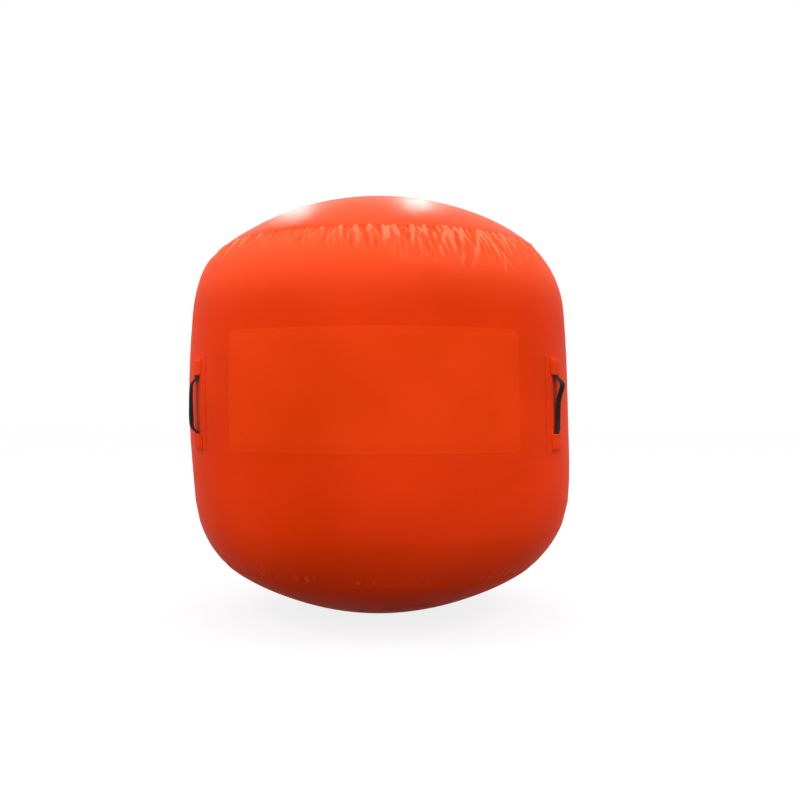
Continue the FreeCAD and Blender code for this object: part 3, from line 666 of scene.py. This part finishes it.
def disc(name, top, first):
    """An end disc from its middle, or from the valve's hole, out over the lap. The
    weld presses it to a fifth of its thickness at the rim, and the puckers fade
    out before they reach the fittings."""
    middle = np.arange(first, FITTINGS, 0.002)
    dome = np.arange(middle[-1] + 0.012, SEAM - RIM - 0.004, 0.012)
    rim = np.concatenate([np.arange(SEAM - RIM, SEAM - 0.004, 0.004),
                          SEAM - np.array([0.003, 0.0015, 0])])
    s = np.concatenate([middle, dome, rim])
    counts = np.where(s < 0.12, ROUND // 6, np.where(s < SEAM - 0.05, ROUND // 3, ROUND))
    pressed = PRESSED + (1 - PRESSED) * soften((SEAM - s) / PRESS_WIDTH)
    from_crown, order = (s, 1) if top else (2 * TO_WAIST - s, -1)
    faces, places, marks = [], [], []
    for lift, most in (((WELD + CLOTH) * pressed, ROUND), (WELD * pressed ** 2, ROUND // 3)):
        r, z, out, up = disc_outline(s, lift, top)
        rows, flat = [], []
        for k in range(len(s)):
            turn = ring_turns(min(counts[k], most))
            rise = ripple(from_crown[k], turn) * soften((s[k] - CALM) / CALM_FADE)
            rows.append(swung(r[k] + rise * out[k], turn,
                              (z[k] + rise * up[k]) * order + WAIST_HEIGHT))
            flat.append(swung(s[k], turn))
            if most == ROUND:
                marks.append(folds(from_crown[k], turn))
        faces.append(rows[::order])
        places.append(flat[::order])
    piece = layer(name, *faces, *places, closed_middle=not top)
    return mark(piece, "fold", np.concatenate(marks[::order]))


top_skin = disc("top_skin", True, VALVE_HOLE)
bottom_skin = disc("bottom_skin", False, 0.002)
for piece, node, gone in ((top_skin, "top_disc", VALVE_HOLE), (bottom_skin, "bottom_disc", 0)):
    welded(piece, node)

# %% [markdown]
# ## Layers welded on the side
# The name panel, the doublers under the handles and the tape over the strip's own
# joint are all rectangles with rounded corners and edges pressed thin. One
# function makes them: each row is as wide as the rounded corners leave it, and
# the thickness rises from the edge in a smooth step.

# %% Rectangles of cloth
def spread(half, edge, fine, coarse):
    """Places from -half to half, fine within the edge at both ends and coarse between."""
    border = np.arange(0, edge, fine)
    middle = np.linspace(-half + edge, half - edge, max(2, round(2 * (half - edge) / coarse)) + 1)
    return np.concatenate([-half + border, middle, half - border[::-1]])


def rectangle(name, node, turn, z, size, corner, thick=CLOTH, lift=WELD, edge=0.004,
              coarse=0.008, rim=0.3, s_range=None):
    """A rounded rectangle of cloth welded on the side: width by height about a turn
    and a height over the waist. Thickness is its rim's share at the edge and whole
    past it. Where it is too tall for the side's arc, s_range gives its ends along
    the cloth instead."""
    half_w, half_h = size[0] / 2, size[1] / 2
    rows, cols = spread(half_h, edge, edge / 4, coarse), spread(half_w, edge, edge / 4, coarse)
    over = np.clip(np.abs(rows) - (half_h - corner), 0, corner)
    width = half_w - corner + np.sqrt(corner ** 2 - over ** 2)
    x = cols[None, :] * (width / half_w)[:, None]
    depth = np.minimum(width[:, None] - np.abs(x), (half_h - np.abs(rows))[:, None])
    height = lift + thick * (rim + (1 - rim) * soften(depth / edge))
    s = np.interp(rows, [-half_h, half_h], s_range) if s_range else at_height(z - rows)
    s, at = s[:, None], turn + x / WAIST
    flat = np.stack([x + turn * WAIST, np.broadcast_to(s, x.shape)], -1)
    piece = layer(name, skin(s, at, height), skin(s, at, lift), flat, wrap=False)
    welded(piece, node)
    return mark(piece, "inset", depth)


panel_low, panel_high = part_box("name_panel")
PANEL = (0.660, panel_high[2] - panel_low[2])
panel_z = (panel_low[2] + panel_high[2]) / 2 - WAIST_HEIGHT
panel = rectangle("name_panel_skin", "name_panel", 0.0, panel_z, PANEL, 0.012,
                  thick=0.0006, lift=0.0002, edge=0.016, rim=0.15)

TAPE_TURN, TAPE_ENDS = math.radians(150), (SEAM + 0.002, 2 * TO_WAIST - SEAM - 0.002)
TAPE = (0.040, TAPE_ENDS[1] - TAPE_ENDS[0])
tape = rectangle("seam_tape", "barrel_seam_tape", TAPE_TURN, 0.0, TAPE, 0.001,
                 s_range=TAPE_ENDS, coarse=0.005)

# %% [markdown]
# ## Handles
# A handle is a loop of webbing. Each of its ends goes into the pocket of a
# moulded pad, and both pads sit on one doubler, which spreads the pull. No two
# loops hang alike: one has slid up and bellies out near its top, one stands off
# almost straight. Each loop is a few points of a route, height over the waist and
# distance off the skin, whose corners are cut again and again to a smooth line.

# %% Doublers and pads
HANDLES = {"right": math.radians(60), "left": math.radians(-60), "back": math.pi}
DOUBLER, PAD_WIDTH, PAD_NEAR, PAD_FAR = (0.090, 0.216), 0.048, 0.064, 0.102
PAD_RISE, PAD_EDGE, PAD_CORNER, PAD_SIDE, PAD_END = 0.0040, 0.0011, 0.009, 0.009, 0.008
PAD_LIP, LIP_IN, LIP_WIDTH, LIP_SIDE = 0.0007, 0.0015, 0.0016, 0.008
STRAP_WIDTH, STRAP_THICK, POCKET_PLAY, POCKET_END = 0.025, 0.0024, 0.0003, 0.093
PAD_FOOT, HAIR = 2 * WELD + CLOTH, 1e-4


def pad(name, turn, up):
    """A moulded pad: height falls from its middle to its sides and its far edge in
    smooth steps, and stands in a lip round the pocket's mouth. The underside rises
    over the webbing to leave the pocket. The pocket's walls and end are two rows
    of points a hair apart."""
    half, wall, stop = PAD_WIDTH / 2, STRAP_WIDTH / 2 + POCKET_PLAY, POCKET_END + POCKET_PLAY
    cols = np.unique(np.concatenate([spread(half, 0.006, 0.0008, 0.0016),
                                     [-wall - HAIR, -wall, wall, wall + HAIR]]))
    rows = np.unique(np.concatenate([PAD_NEAR + np.array([0, 0.0004, 0.001, 0.002]),
                                     np.linspace(PAD_NEAR + 0.004, PAD_FAR - 0.006, 10),
                                     PAD_FAR - np.arange(0, 0.006, 0.0008)[::-1],
                                     [stop, stop + HAIR]]))
    over_far = np.clip(rows - (PAD_FAR - PAD_CORNER), 0, PAD_CORNER)
    over_near = np.clip(PAD_NEAR + PAD_CORNER / 3 - rows, 0, PAD_CORNER / 3) * 1.5
    width = half - PAD_CORNER + np.sqrt(PAD_CORNER ** 2 - np.maximum(over_far, over_near) ** 2)
    x = cols[None, :] * np.ones(len(rows))[:, None]
    reach = (np.abs(x) - wall) / (half - wall)
    fitted = np.sign(x) * (wall + reach * (width[:, None] - wall))
    x = np.where(np.abs(x) > wall + 2 * HAIR, fitted, x)
    side, end = width[:, None] - np.abs(x), (PAD_FAR - rows)[:, None]
    mouth = (rows - PAD_NEAR)[:, None]
    height = PAD_EDGE + (PAD_RISE - PAD_EDGE) * soften(side / PAD_SIDE) * soften(end / PAD_END)
    height *= 0.86 + 0.14 * soften(mouth / 0.0012)
    height += PAD_LIP * soften(side / LIP_SIDE) * np.exp(-((mouth - LIP_IN) / LIP_WIDTH) ** 2)
    pocket = (np.abs(x) <= wall + HAIR / 2) & (rows[:, None] <= stop + HAIR / 2)
    roof = np.where(pocket, STRAP_THICK + POCKET_PLAY, 0.0)
    s, at = at_height(up * rows)[:, None], turn + x / WAIST
    flat = np.stack([x, np.broadcast_to(rows[:, None], x.shape)], -1)
    faces = skin(s, at, PAD_FOOT + height), skin(s, at, PAD_FOOT + roof), flat
    return layer(name, *(grid[::-up] for grid in faces), wrap=False)


doublers, pads = [], []
for side, turn in HANDLES.items():
    doublers.append(rectangle("handle_doubler_" + side, "handle_patch_" + side, turn, 0.0,
                              DOUBLER, 0.014, coarse=0.006, edge=0.007, rim=0.2))
    for end, up in (("upper", 1), ("lower", -1)):
        pads.append(ride_on(pad("pad_%s_%s" % (side, end), turn, up), "hull", "pvc_skin",
                            "handle_pad_%s_%s" % (side, end)))

# %% Webbing
SQUARE_ENDS, FLAT_FACES, NARROWED, TROUGH = 0.45, 0.55, 0.26, 0.20


def halved(points, rounds):
    """Cut every corner of a line at a quarter and three quarters, again and again."""
    points = np.asarray(points, float)
    for _ in range(rounds):
        a, b = points[:-1], points[1:]
        cut = np.stack([0.75 * a + 0.25 * b, 0.25 * a + 0.75 * b], 1).reshape(-1, points.shape[1])
        points = np.concatenate([points[:1], cut, points[-1:]])
    return points


def ribbon(name, line, across, width, thick, around=28, cup=0.0):
    """Webbing along a line of points: its section is a flat superellipse, wide along
    across and thick along the line's own normal, closed by a fan at both ends. Where
    cup is 1 the section is bent to a shallow trough, as a bowed strap bends itself."""
    along = unit(np.gradient(line, axis=0))
    across = unit(across - (across * along).sum(1, keepdims=True) * along)
    up = np.cross(across, along)
    a = ring_turns(around)
    x = width / 2 * np.sign(np.cos(a)) * np.abs(np.cos(a)) ** SQUARE_ENDS
    y = thick / 2 * np.sign(np.sin(a)) * np.abs(np.sin(a)) ** FLAT_FACES
    cup = np.broadcast_to(cup, len(line))
    narrow = (1 - NARROWED * cup)[:, None] * x[None, :]
    trough = y[None, :] + (TROUGH * width * cup)[:, None] * ((2 * x / width) ** 2 - 0.4)[None, :]
    grid = line[:, None] + across[:, None] * narrow[..., None] + up[:, None] * trough[..., None]
    index = np.arange(len(line) * around).reshape(len(line), around)
    faces = [f for a, b in zip(index, index[1:]) for f in band(a, b)]
    faces += [fan(index.size, index[0], -1), fan(index.size + 1, np.roll(index[-1], -1), 1)]
    went = np.concatenate([[0], np.cumsum(np.linalg.norm(np.diff(line, axis=0), axis=1))])
    flat = np.stack(np.broadcast_arrays(x[None, :], went[:, None]), -1).reshape(-1, 2)
    points = np.concatenate([grid.reshape(-1, 3), line[:1], line[-1:]])
    return mesh_piece(name, points, faces, np.concatenate([flat, [[0, 0], [0, went[-1]]]]))


# height over the waist and distance off the skin, from the top pad's pocket down
LOOPS = {
    "right": [(0.067, 0.0), (0.060, 0.001), (0.050, 0.014), (0.039, 0.0175),
              (0.026, 0.0125), (0.008, 0.0072), (-0.020, 0.0058), (-0.050, 0.0045),
              (-0.060, 0.0008), (-0.067, 0.0)],
    "left": [(0.066, 0.0), (0.056, 0.0012), (0.046, 0.0125), (0.028, 0.0140), (-0.028, 0.0150),
             (-0.050, 0.0140), (-0.060, 0.0012), (-0.067, 0.0)],
    "back": [(0.066, 0.0), (0.058, 0.0010), (0.042, 0.0120), (0.020, 0.0160), (-0.020, 0.0168),
             (-0.042, 0.0125), (-0.058, 0.0010), (-0.066, 0.0)],
}
TAIL_END = 0.090
FREE_HALF, ROLL, CUP_END, CUP_FADE = 0.063, 0.10, 0.058, 0.030
loops = []
for side, turn in HANDLES.items():
    z, off = halved([(TAIL_END, 0.0), *LOOPS[side], (-TAIL_END, 0.0)], 4).T
    line = skin(at_height(z), turn, PAD_FOOT + STRAP_THICK / 2 + off)
    roll = ROLL * np.sin(z / FREE_HALF * np.pi) * np.clip(off / 0.014, 0, 1)
    out = np.array([math.sin(turn), -math.cos(turn), 0])
    level = np.array([math.cos(turn), math.sin(turn), 0])
    across = level[None] * np.cos(roll)[:, None] + out[None] * np.sin(roll)[:, None]
    cup = soften(np.minimum(CUP_END - z, CUP_END + z) / CUP_FADE) * soften(off / 0.006)
    loop = ribbon("handle_loop_" + side, line, across, STRAP_WIDTH, STRAP_THICK, cup=cup)
    loops.append(ride_on(loop, "hull", "webbing", "handle_strap_" + side))

# %% [markdown]
# ## Mooring point and valve seat
# Under the mark a band of webbing is folded round the bar of a steel ring. Its
# tails are welded flat against the hollow by a round cover with a slot for the
# band. On the crown a ring of cloth doubles the disc under the valve. Both are
# flat rings of cloth that differ only in the shape of their hole. The valve, its
# cap and the steel ring keep their CAD shapes; the collar gets the thread that
# the cap screws on.

# %% Flat rings of cloth
RING_POINTS, RING_EDGE = 240, 0.003


def flat_ring(name, hole, reach, seat, facing):
    """Cloth from a hole, given as a radius at every turn, out to a circle. It is
    welded at height seat and its free face looks up (facing 1) or down (-1)."""
    turn = ring_turns(RING_POINTS)
    share = np.concatenate([[0, 0.04], np.linspace(0.12, 0.84, 8),
                            1 - 0.12 * (1 - np.linspace(0.2, 1, 7))])[::facing, None]
    wide = reach - hole(turn)
    r, depth = hole(turn) + wide * share, wide * (1 - share)
    rise = facing * CLOTH * (0.3 + 0.7 * soften(depth / RING_EDGE))
    free, seated = (swung(r, turn, seat + up) for up in (rise, 0 * rise))
    piece = layer(name, free, seated, swung(r, turn))
    return mark(piece, "inset", depth)


def band_slot(turn):
    """Radius to the edge of the rectangle that the band comes through."""
    return np.minimum(SLOT_X / np.maximum(np.abs(np.sin(turn)), 1e-9),
                      SLOT_Y / np.maximum(np.abs(np.cos(turn)), 1e-9))


SLOT_X, SLOT_Y = 0.0053, 0.0174
cover_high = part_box("mooring_patch")[1]
cover = flat_ring("mooring_cover", band_slot, cover_high[0], cover_high[2], -1)
doubler_low, doubler_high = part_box("valve_patch")
valve_doubler = flat_ring("valve_doubler", lambda turn: np.full(len(turn), VALVE_HOLE),
                          doubler_high[0], doubler_low[2], 1)
for piece, node, under, reach, gone in (
        (cover, "mooring_patch", "bottom_skin", cover_high[0], 4 * SLOT_X * SLOT_Y),
        (valve_doubler, "valve_patch", "top_skin", doubler_high[0], math.pi * VALVE_HOLE ** 2)):
    welded(piece, node)


# %% Band round the ring
def arc(x, z, radius, first, last, count=14):
    """Points of an arc in the plane of x and z, between two angles in degrees."""
    a = np.radians(np.linspace(first, last, count))
    return np.stack([x + radius * np.cos(a), z + radius * np.sin(a)], -1)


tab_low, tab_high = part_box("mooring_tab")
wire_low, wire_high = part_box("mooring_ring")
TAB_THICK, BEND, TAB_WIDTH = 0.0016, 0.0009, tab_high[1] - tab_low[1]
bar_z = (wire_low[2] + wire_high[2]) / 2
loop_r = bar_z - tab_low[2] - TAB_THICK / 2
tail_z = tab_high[2] - TAB_THICK / 2
half_way = np.concatenate([
    np.stack([np.linspace(-tab_high[0], -loop_r - BEND - 0.001, 12), np.full(12, tail_z)], -1),
    arc(-loop_r - BEND, tail_z - BEND, BEND, 90, 0), arc(0, bar_z, loop_r, 180, 270, 20)])
band_x, band_z = np.concatenate([half_way[:-1], half_way[::-1] * [-1, 1]]).T
line = np.stack([band_x, np.zeros(len(band_x)), band_z], -1)
mooring_band = ribbon("mooring_band", line, np.broadcast_to([0.0, 1.0, 0.0], line.shape),
                      TAB_WIDTH, TAB_THICK)
ride_on(mooring_band, "hull", "webbing", "mooring_tab")

# %% Thread on the valve's collar
collar_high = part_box("valve_base")[1]
COLLAR, THREAD, THREAD_WIDTH, THREAD_TURNS, PITCH = 0.0225, 0.0005, 0.0008, 1.7, 0.0023
THREAD_DOWN = 0.0030
a = np.linspace(0, 2 * np.pi * THREAD_TURNS, 260)
fade = np.clip(np.minimum(a, a[-1] - a) / 0.5, 0, 1)
r = COLLAR - THREAD / 2 + THREAD / 2 * fade
line = np.stack([r * np.cos(a), r * np.sin(a),
                 collar_high[2] - THREAD_DOWN + PITCH * a / a[-1]], -1)
thread = ribbon("collar_thread", line, np.broadcast_to([0.0, 0.0, 1.0], line.shape),
                THREAD_WIDTH, THREAD, around=8)
ride_on(thread, "hull", "valve_plastic")

# %% [markdown]
# ## Building materials from nodes
# A finish is a small graph: patterns go in, a Principled shader comes out. Each
# helper adds to the tree that its first socket belongs to. What is the same all
# over, such as the colour of steel, stays a plain setting on the shader itself.

# %% Pattern helpers
def calc(operation, a, b=0.0, c=0.0):
    """One sum on a pattern and up to two more patterns or numbers."""
    return add(a.id_data, "Math", {0: a, 1: b, 2: c}, operation=operation).outputs[0]


def times(a, b):
    """One pattern times another, or times a number."""
    return calc("MULTIPLY", a, b)


def scaled(a, share, plus):
    """a times share, plus a number or another pattern."""
    return calc("MULTIPLY_ADD", a, share, plus)


def wave(value, length):
    """A sine from -1 to 1 that comes again after every length."""
    return calc("SINE", times(value, 2 * math.pi / length))


def from_to(value, low, high, first=0.0, last=1.0):
    """Value between low and high becomes first to last in a smooth step."""
    sockets = {"Value": value, "From Min": low, "From Max": high, "To Min": first, "To Max": last}
    return add(value.id_data, "MapRange", sockets, interpolation_type="SMOOTHSTEP").outputs[0]


def within(value, low, high, soft):
    """1 between low and high, and 0 outside them, with soft edges on the inside."""
    return times(from_to(value, low, low + soft), from_to(value, high, high - soft))


def shade(colour, share, plus=0.0):
    """A colour with each part times share, a little more, and 1 at most."""
    return tuple(min(1.0, part * share + plus) for part in colour)


def blended(share, a, b):
    """Colour a turning into colour b by share."""
    a, b = ((*value, 1.0) if isinstance(value, tuple) else value for value in (a, b))
    return add(share.id_data, "Mix", {0: share, 6: a, 7: b}, data_type="RGBA").outputs[2]


def painted_over(base, *layers):
    """The base colour under layers of (share, colour), one after the other."""
    for share, colour in layers:
        base = blended(share, base, colour)
    return base


def clouds(where, scale, detail=3.0, rough=0.55, stretch=None):
    """Noise from 0 to 1 over the given coordinates, stretched first if asked."""
    tree = where.id_data
    if stretch:
        where = add(tree, "Mapping", {"Vector": where, "Scale": stretch}).outputs[0]
    sockets = {"Vector": where, "Scale": scale, "Detail": detail, "Roughness": rough}
    return add(tree, "TexNoise", sockets).outputs["Fac"]


def raised(height, metres, under=None):
    """Bump: height from 0 to 1 stands for that many metres."""
    sockets = {"Height": height, "Distance": metres, **({"Normal": under} if under else {})}
    return add(height.id_data, "Bump", sockets).outputs["Normal"]


def finish(name, shader):
    """A new material, its Principled shader with the given settings, and the places
    on the whole mark that its patterns can follow."""
    paint = bpy.data.materials.new(name)
    tree = tree_of(paint)
    surface = add(tree, "BsdfPrincipled", shader)
    add(tree, "OutputMaterial", {"Surface": surface.outputs[0]})
    return paint, surface, add(tree, "TexCoord").outputs["Object"]


def flat_cloth(tree):
    """Places on the flat cloth: together, across and along."""
    cloth = add(tree, "UVMap", uv_map="cloth").outputs["UV"]
    return cloth, *add(tree, "SeparateXYZ", {0: cloth}).outputs[:2]


def wire_up(surface, patterns):
    """Link each pattern to the shader's socket of that name."""
    for socket, pattern in patterns.items():
        pattern.id_data.links.new(pattern, surface.inputs[socket])


# %% [markdown]
# ## Coated fabric
# The skin is polyester cloth drowned in coloured PVC. From a step away it is one
# even safety orange with a soft gloss; close to, the threads still print through
# as a fine grid, about eight to the centimetre. Use leaves it uneven: rubbed
# streaks have lost some gloss, and there is dust where it stands. High on the
# mark the orange is painted paler, a painted sheen of the overhead light. The
# welding bars leave a small knurl in each lap and ribs round each patch. Each of
# these is one pattern, laid over the colour or added to the bump.

# %% Fabric finish
THREADS, KNURL, RIBS = 0.00127, 0.0032, 0.0022
ORANGE, PALE_ORANGE, DUST = (0.775, 0.037, 0.0008), (0.82, 0.046, 0.0016), (0.30, 0.15, 0.08)
# a paler orange painted high on the mark, a painted sheen of overhead light; and the fold colour,
# partly stretched coating and partly a painted highlight
PAINTED_SHEEN, STRETCHED_AND_HIGHLIT = (0.79, 0.104, 0.034), (0.84, 0.170, 0.080)
SHEEN_HEIGHTS, DUSTY = (0.66, 0.92), (0.035, 0.0)
SLACK, WEAVE, STUDS, PRESS = 0.0009, 0.00003, 0.00005, 0.00012


def fabric(name, colour, gloss, weave=1.0, weld=None, border=None, folded=False,
           shine=0.02, sheen_share=1.0):
    """Coated cloth. weave scales the grid. weld is None, or where the knurled band
    starts and ends from the middle of a disc; border is the same for slanting ribs
    from the edge of a patch. Folded cloth is paler on its folds, partly stretched
    coating and partly a painted highlight, and darker between them, a painted shade."""
    paint, surface, body = finish(name, {"Roughness": gloss, "Specular IOR Level": shine})
    tree = body.id_data
    cloth, u, v = flat_cloth(tree)
    height = add(tree, "SeparateXYZ", {0: body}).outputs["Z"]
    drift, grain = clouds(body, 2.3, 2.0), clouds(body, 42.0, 7.0, 0.68)
    rubbed = from_to(clouds(body, 5.0, 6.0, 0.62, (1.0, 1.0, 3.4)), 0.56, 0.74)
    fine = from_to(clouds(body, 26.0, 8.0, 0.7, (1.0, 1.0, 0.22)), 0.60, 0.78)
    # painted sheen: a paler colour by height, standing in for the overhead light on the upper side
    # and crown
    sheen_mask = times(from_to(height, *SHEEN_HEIGHTS, 0.0, sheen_share), scaled(drift, 0.3, 0.8))
    dusty = times(from_to(height, *DUSTY), from_to(grain, 0.30, 0.70, 0.10, 0.40))

    layers = [(sheen_mask, PAINTED_SHEEN), (times(rubbed, 0.16), shade(colour, 1.05, 0.03)),
              (times(fine, 0.10), shade(colour, 0.8))]
    if folded:
        fold = add(tree, "Attribute", attribute_name="fold").outputs["Fac"]
        # fold ridges painted paler, partly stretched coating and partly painted highlight; fold
        # valleys painted darker, which is painted shade
        layers += [(from_to(fold, 0.05, 0.95, 0.0, 0.9), STRETCHED_AND_HIGHLIT),
                   (from_to(fold, -0.1, -0.9, 0.0, 0.5), shade(colour, 0.8))]
    patchy = blended(from_to(drift, 0.30, 0.70), shade(colour, 0.92), shade(colour, 1.10, 0.004))
    base = painted_over(patchy, *layers, (dusty, DUST))
    rough = scaled(dusty, 0.40, scaled(rubbed, 0.16, scaled(drift, 0.10, gloss - 0.05)))

    threads = times(wave(u, THREADS), wave(v, THREADS))
    normal = raised(clouds(body, 16.0, 3.0), SLACK)
    normal = raised(scaled(threads, 0.5, 0.5), WEAVE * weave, normal)
    if weld:
        s = add(tree, "VectorMath", {0: cloth}, operation="LENGTH").outputs["Value"]
        around = times(calc("ARCTAN2", u, v), round(2 * math.pi * SEAM / KNURL))
        one, other = (calc("SINE", scaled(s, slant * 2 * math.pi / KNURL, around))
                      for slant in (1, -1))
        studs = times(calc("MAXIMUM", one, other), within(s, *weld, 0.0015))
        normal = raised(studs, STUDS, normal)
    if border:
        inset = add(tree, "Attribute", attribute_name="inset").outputs["Fac"]
        ribs = scaled(wave(calc("ADD", u, v), RIBS), 0.4, -1.0)
        normal = raised(times(ribs, within(inset, *border, 0.0008)), PRESS, normal)
    wire_up(surface, {"Base Color": base, "Roughness": rough, "Normal": normal})
    return paint


WELD_BAND = (SEAM - 0.024, SEAM - 0.004)
skin_paint = fabric("coated_fabric", ORANGE, 0.50, folded=True)
crown_paint = fabric("coated_fabric_crown", ORANGE, 0.35, folded=True, weld=WELD_BAND,
                     shine=0.023, sheen_share=0.40)
foot_paint = fabric("coated_fabric_foot", ORANGE, 0.56, folded=True, weld=WELD_BAND)
panel_paint = fabric("blank_panel", PALE_ORANGE, 0.52, weave=0.4, border=(0.006, 0.014))
patch_paint = fabric("coated_fabric_patch", ORANGE, 0.50, border=(0.0030, 0.0085))
moulding_paint = fabric("moulded_pvc", ORANGE, 0.54, weave=0.0)

# %% [markdown]
# ## Webbing, plastic, rubber and steel
# Webbing is a twill: its height climbs in slanting ribs that turn back halfway
# across, so the pattern follows the strap's own UV map. The valve is moulded in
# black plastic with a faint eroded grain. The flap is dull rubber. The ring is
# bent and polished steel wire, brushed a little by shackles.

# %% Webbing finish
TWILL, ENDS = 0.0021, 0.0013
BLACK, WORN_BLACK = (0.004, 0.003, 0.003), (0.021, 0.016, 0.015)
FLUFF, SCUFF = (0.070, 0.055, 0.050), (0.070, 0.045, 0.035)


def webbing(name, width):
    """Black twill: ribs that slant away from the middle, fluff at the edges, scuffs."""
    paint, surface, body = finish(name, {"Roughness": 0.80, "Specular IOR Level": 0.10})
    cloth, u, v = flat_cloth(body.id_data)
    slant = calc("ABSOLUTE", u)
    ribs = wave(calc("ADD", times(slant, 0.8), v), TWILL)
    height = scaled(scaled(wave(u, ENDS), 0.45, ribs), 0.34, 0.5)
    edge = from_to(slant, width / 2 - 0.0016, width / 2 - 0.0004)
    fuzz = clouds(cloth, 900.0, 3.0)
    worn = from_to(clouds(body, 30.0, 4.0), 0.5, 0.75)
    base = painted_over(blended(height, BLACK, WORN_BLACK),
                        (times(fuzz, scaled(edge, 0.28, 0.08)), FLUFF), (times(worn, 0.16), SCUFF))
    wire_up(surface, {"Base Color": base,
                      "Normal": raised(fuzz, 0.00010, raised(height, 0.00032))})
    return paint


strap_paint = webbing("strap_webbing", STRAP_WIDTH)
band_paint = webbing("band_webbing", TAB_WIDTH)


# %% Hard finishes
def moulded(name, colour, gloss, grain):
    """Plastic or rubber: eroded grain, dust in patches, gloss that varies."""
    paint, surface, body = finish(name, {"Roughness": gloss, "Specular IOR Level": 0.3})
    patches = clouds(body, 45.0, 5.0)
    dusty = from_to(patches, 0.45, 0.75, 0.0, 0.35)
    wire_up(surface, {"Base Color": blended(dusty, colour, shade(colour, 2.2, 0.012)),
                      "Roughness": scaled(patches, 0.22, gloss - 0.1),
                      "Normal": raised(clouds(body, 1400.0, 2.0), grain)})
    return paint


valve_paint = moulded("valve_plastic", (0.020, 0.020, 0.022), 0.42, 0.00006)
rubber_paint = moulded("flap_rubber", (0.028, 0.028, 0.028), 0.70, 0.00003)

STEEL = {"Base Color": (0.62, 0.61, 0.59, 1), "Metallic": 1.0}
steel_paint, surface, body = finish("polished_wire", STEEL)
streaks = clouds(body, 90.0, 5.0, 0.6, (1.0, 0.25, 1.0))
wire_up(surface, {"Roughness": scaled(streaks, 0.22, 0.12), "Normal": raised(streaks, 0.00004)})

# %% Hand the finishes out
for paint, pieces in ((skin_paint, [barrel]), (crown_paint, [top_skin]),
                      (foot_paint, [bottom_skin]), (panel_paint, [panel]),
                      (patch_paint, [tape, cover, valve_doubler, *doublers]),
                      (moulding_paint, pads), (strap_paint, loops),
                      (band_paint, [mooring_band]), (valve_paint, [thread])):
    for piece in pieces:
        piece.data.materials.append(paint)
for paint, nodes in ((valve_paint, ("valve_base", "valve_stopper", "valve_cap")),
                     (rubber_paint, ("valve_flap",)), (steel_paint, ("mooring_ring",))):
    for node in nodes:
        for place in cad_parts[node].material_slots:
            place.material = paint
print(len(bpy.data.materials), "materials in the file")
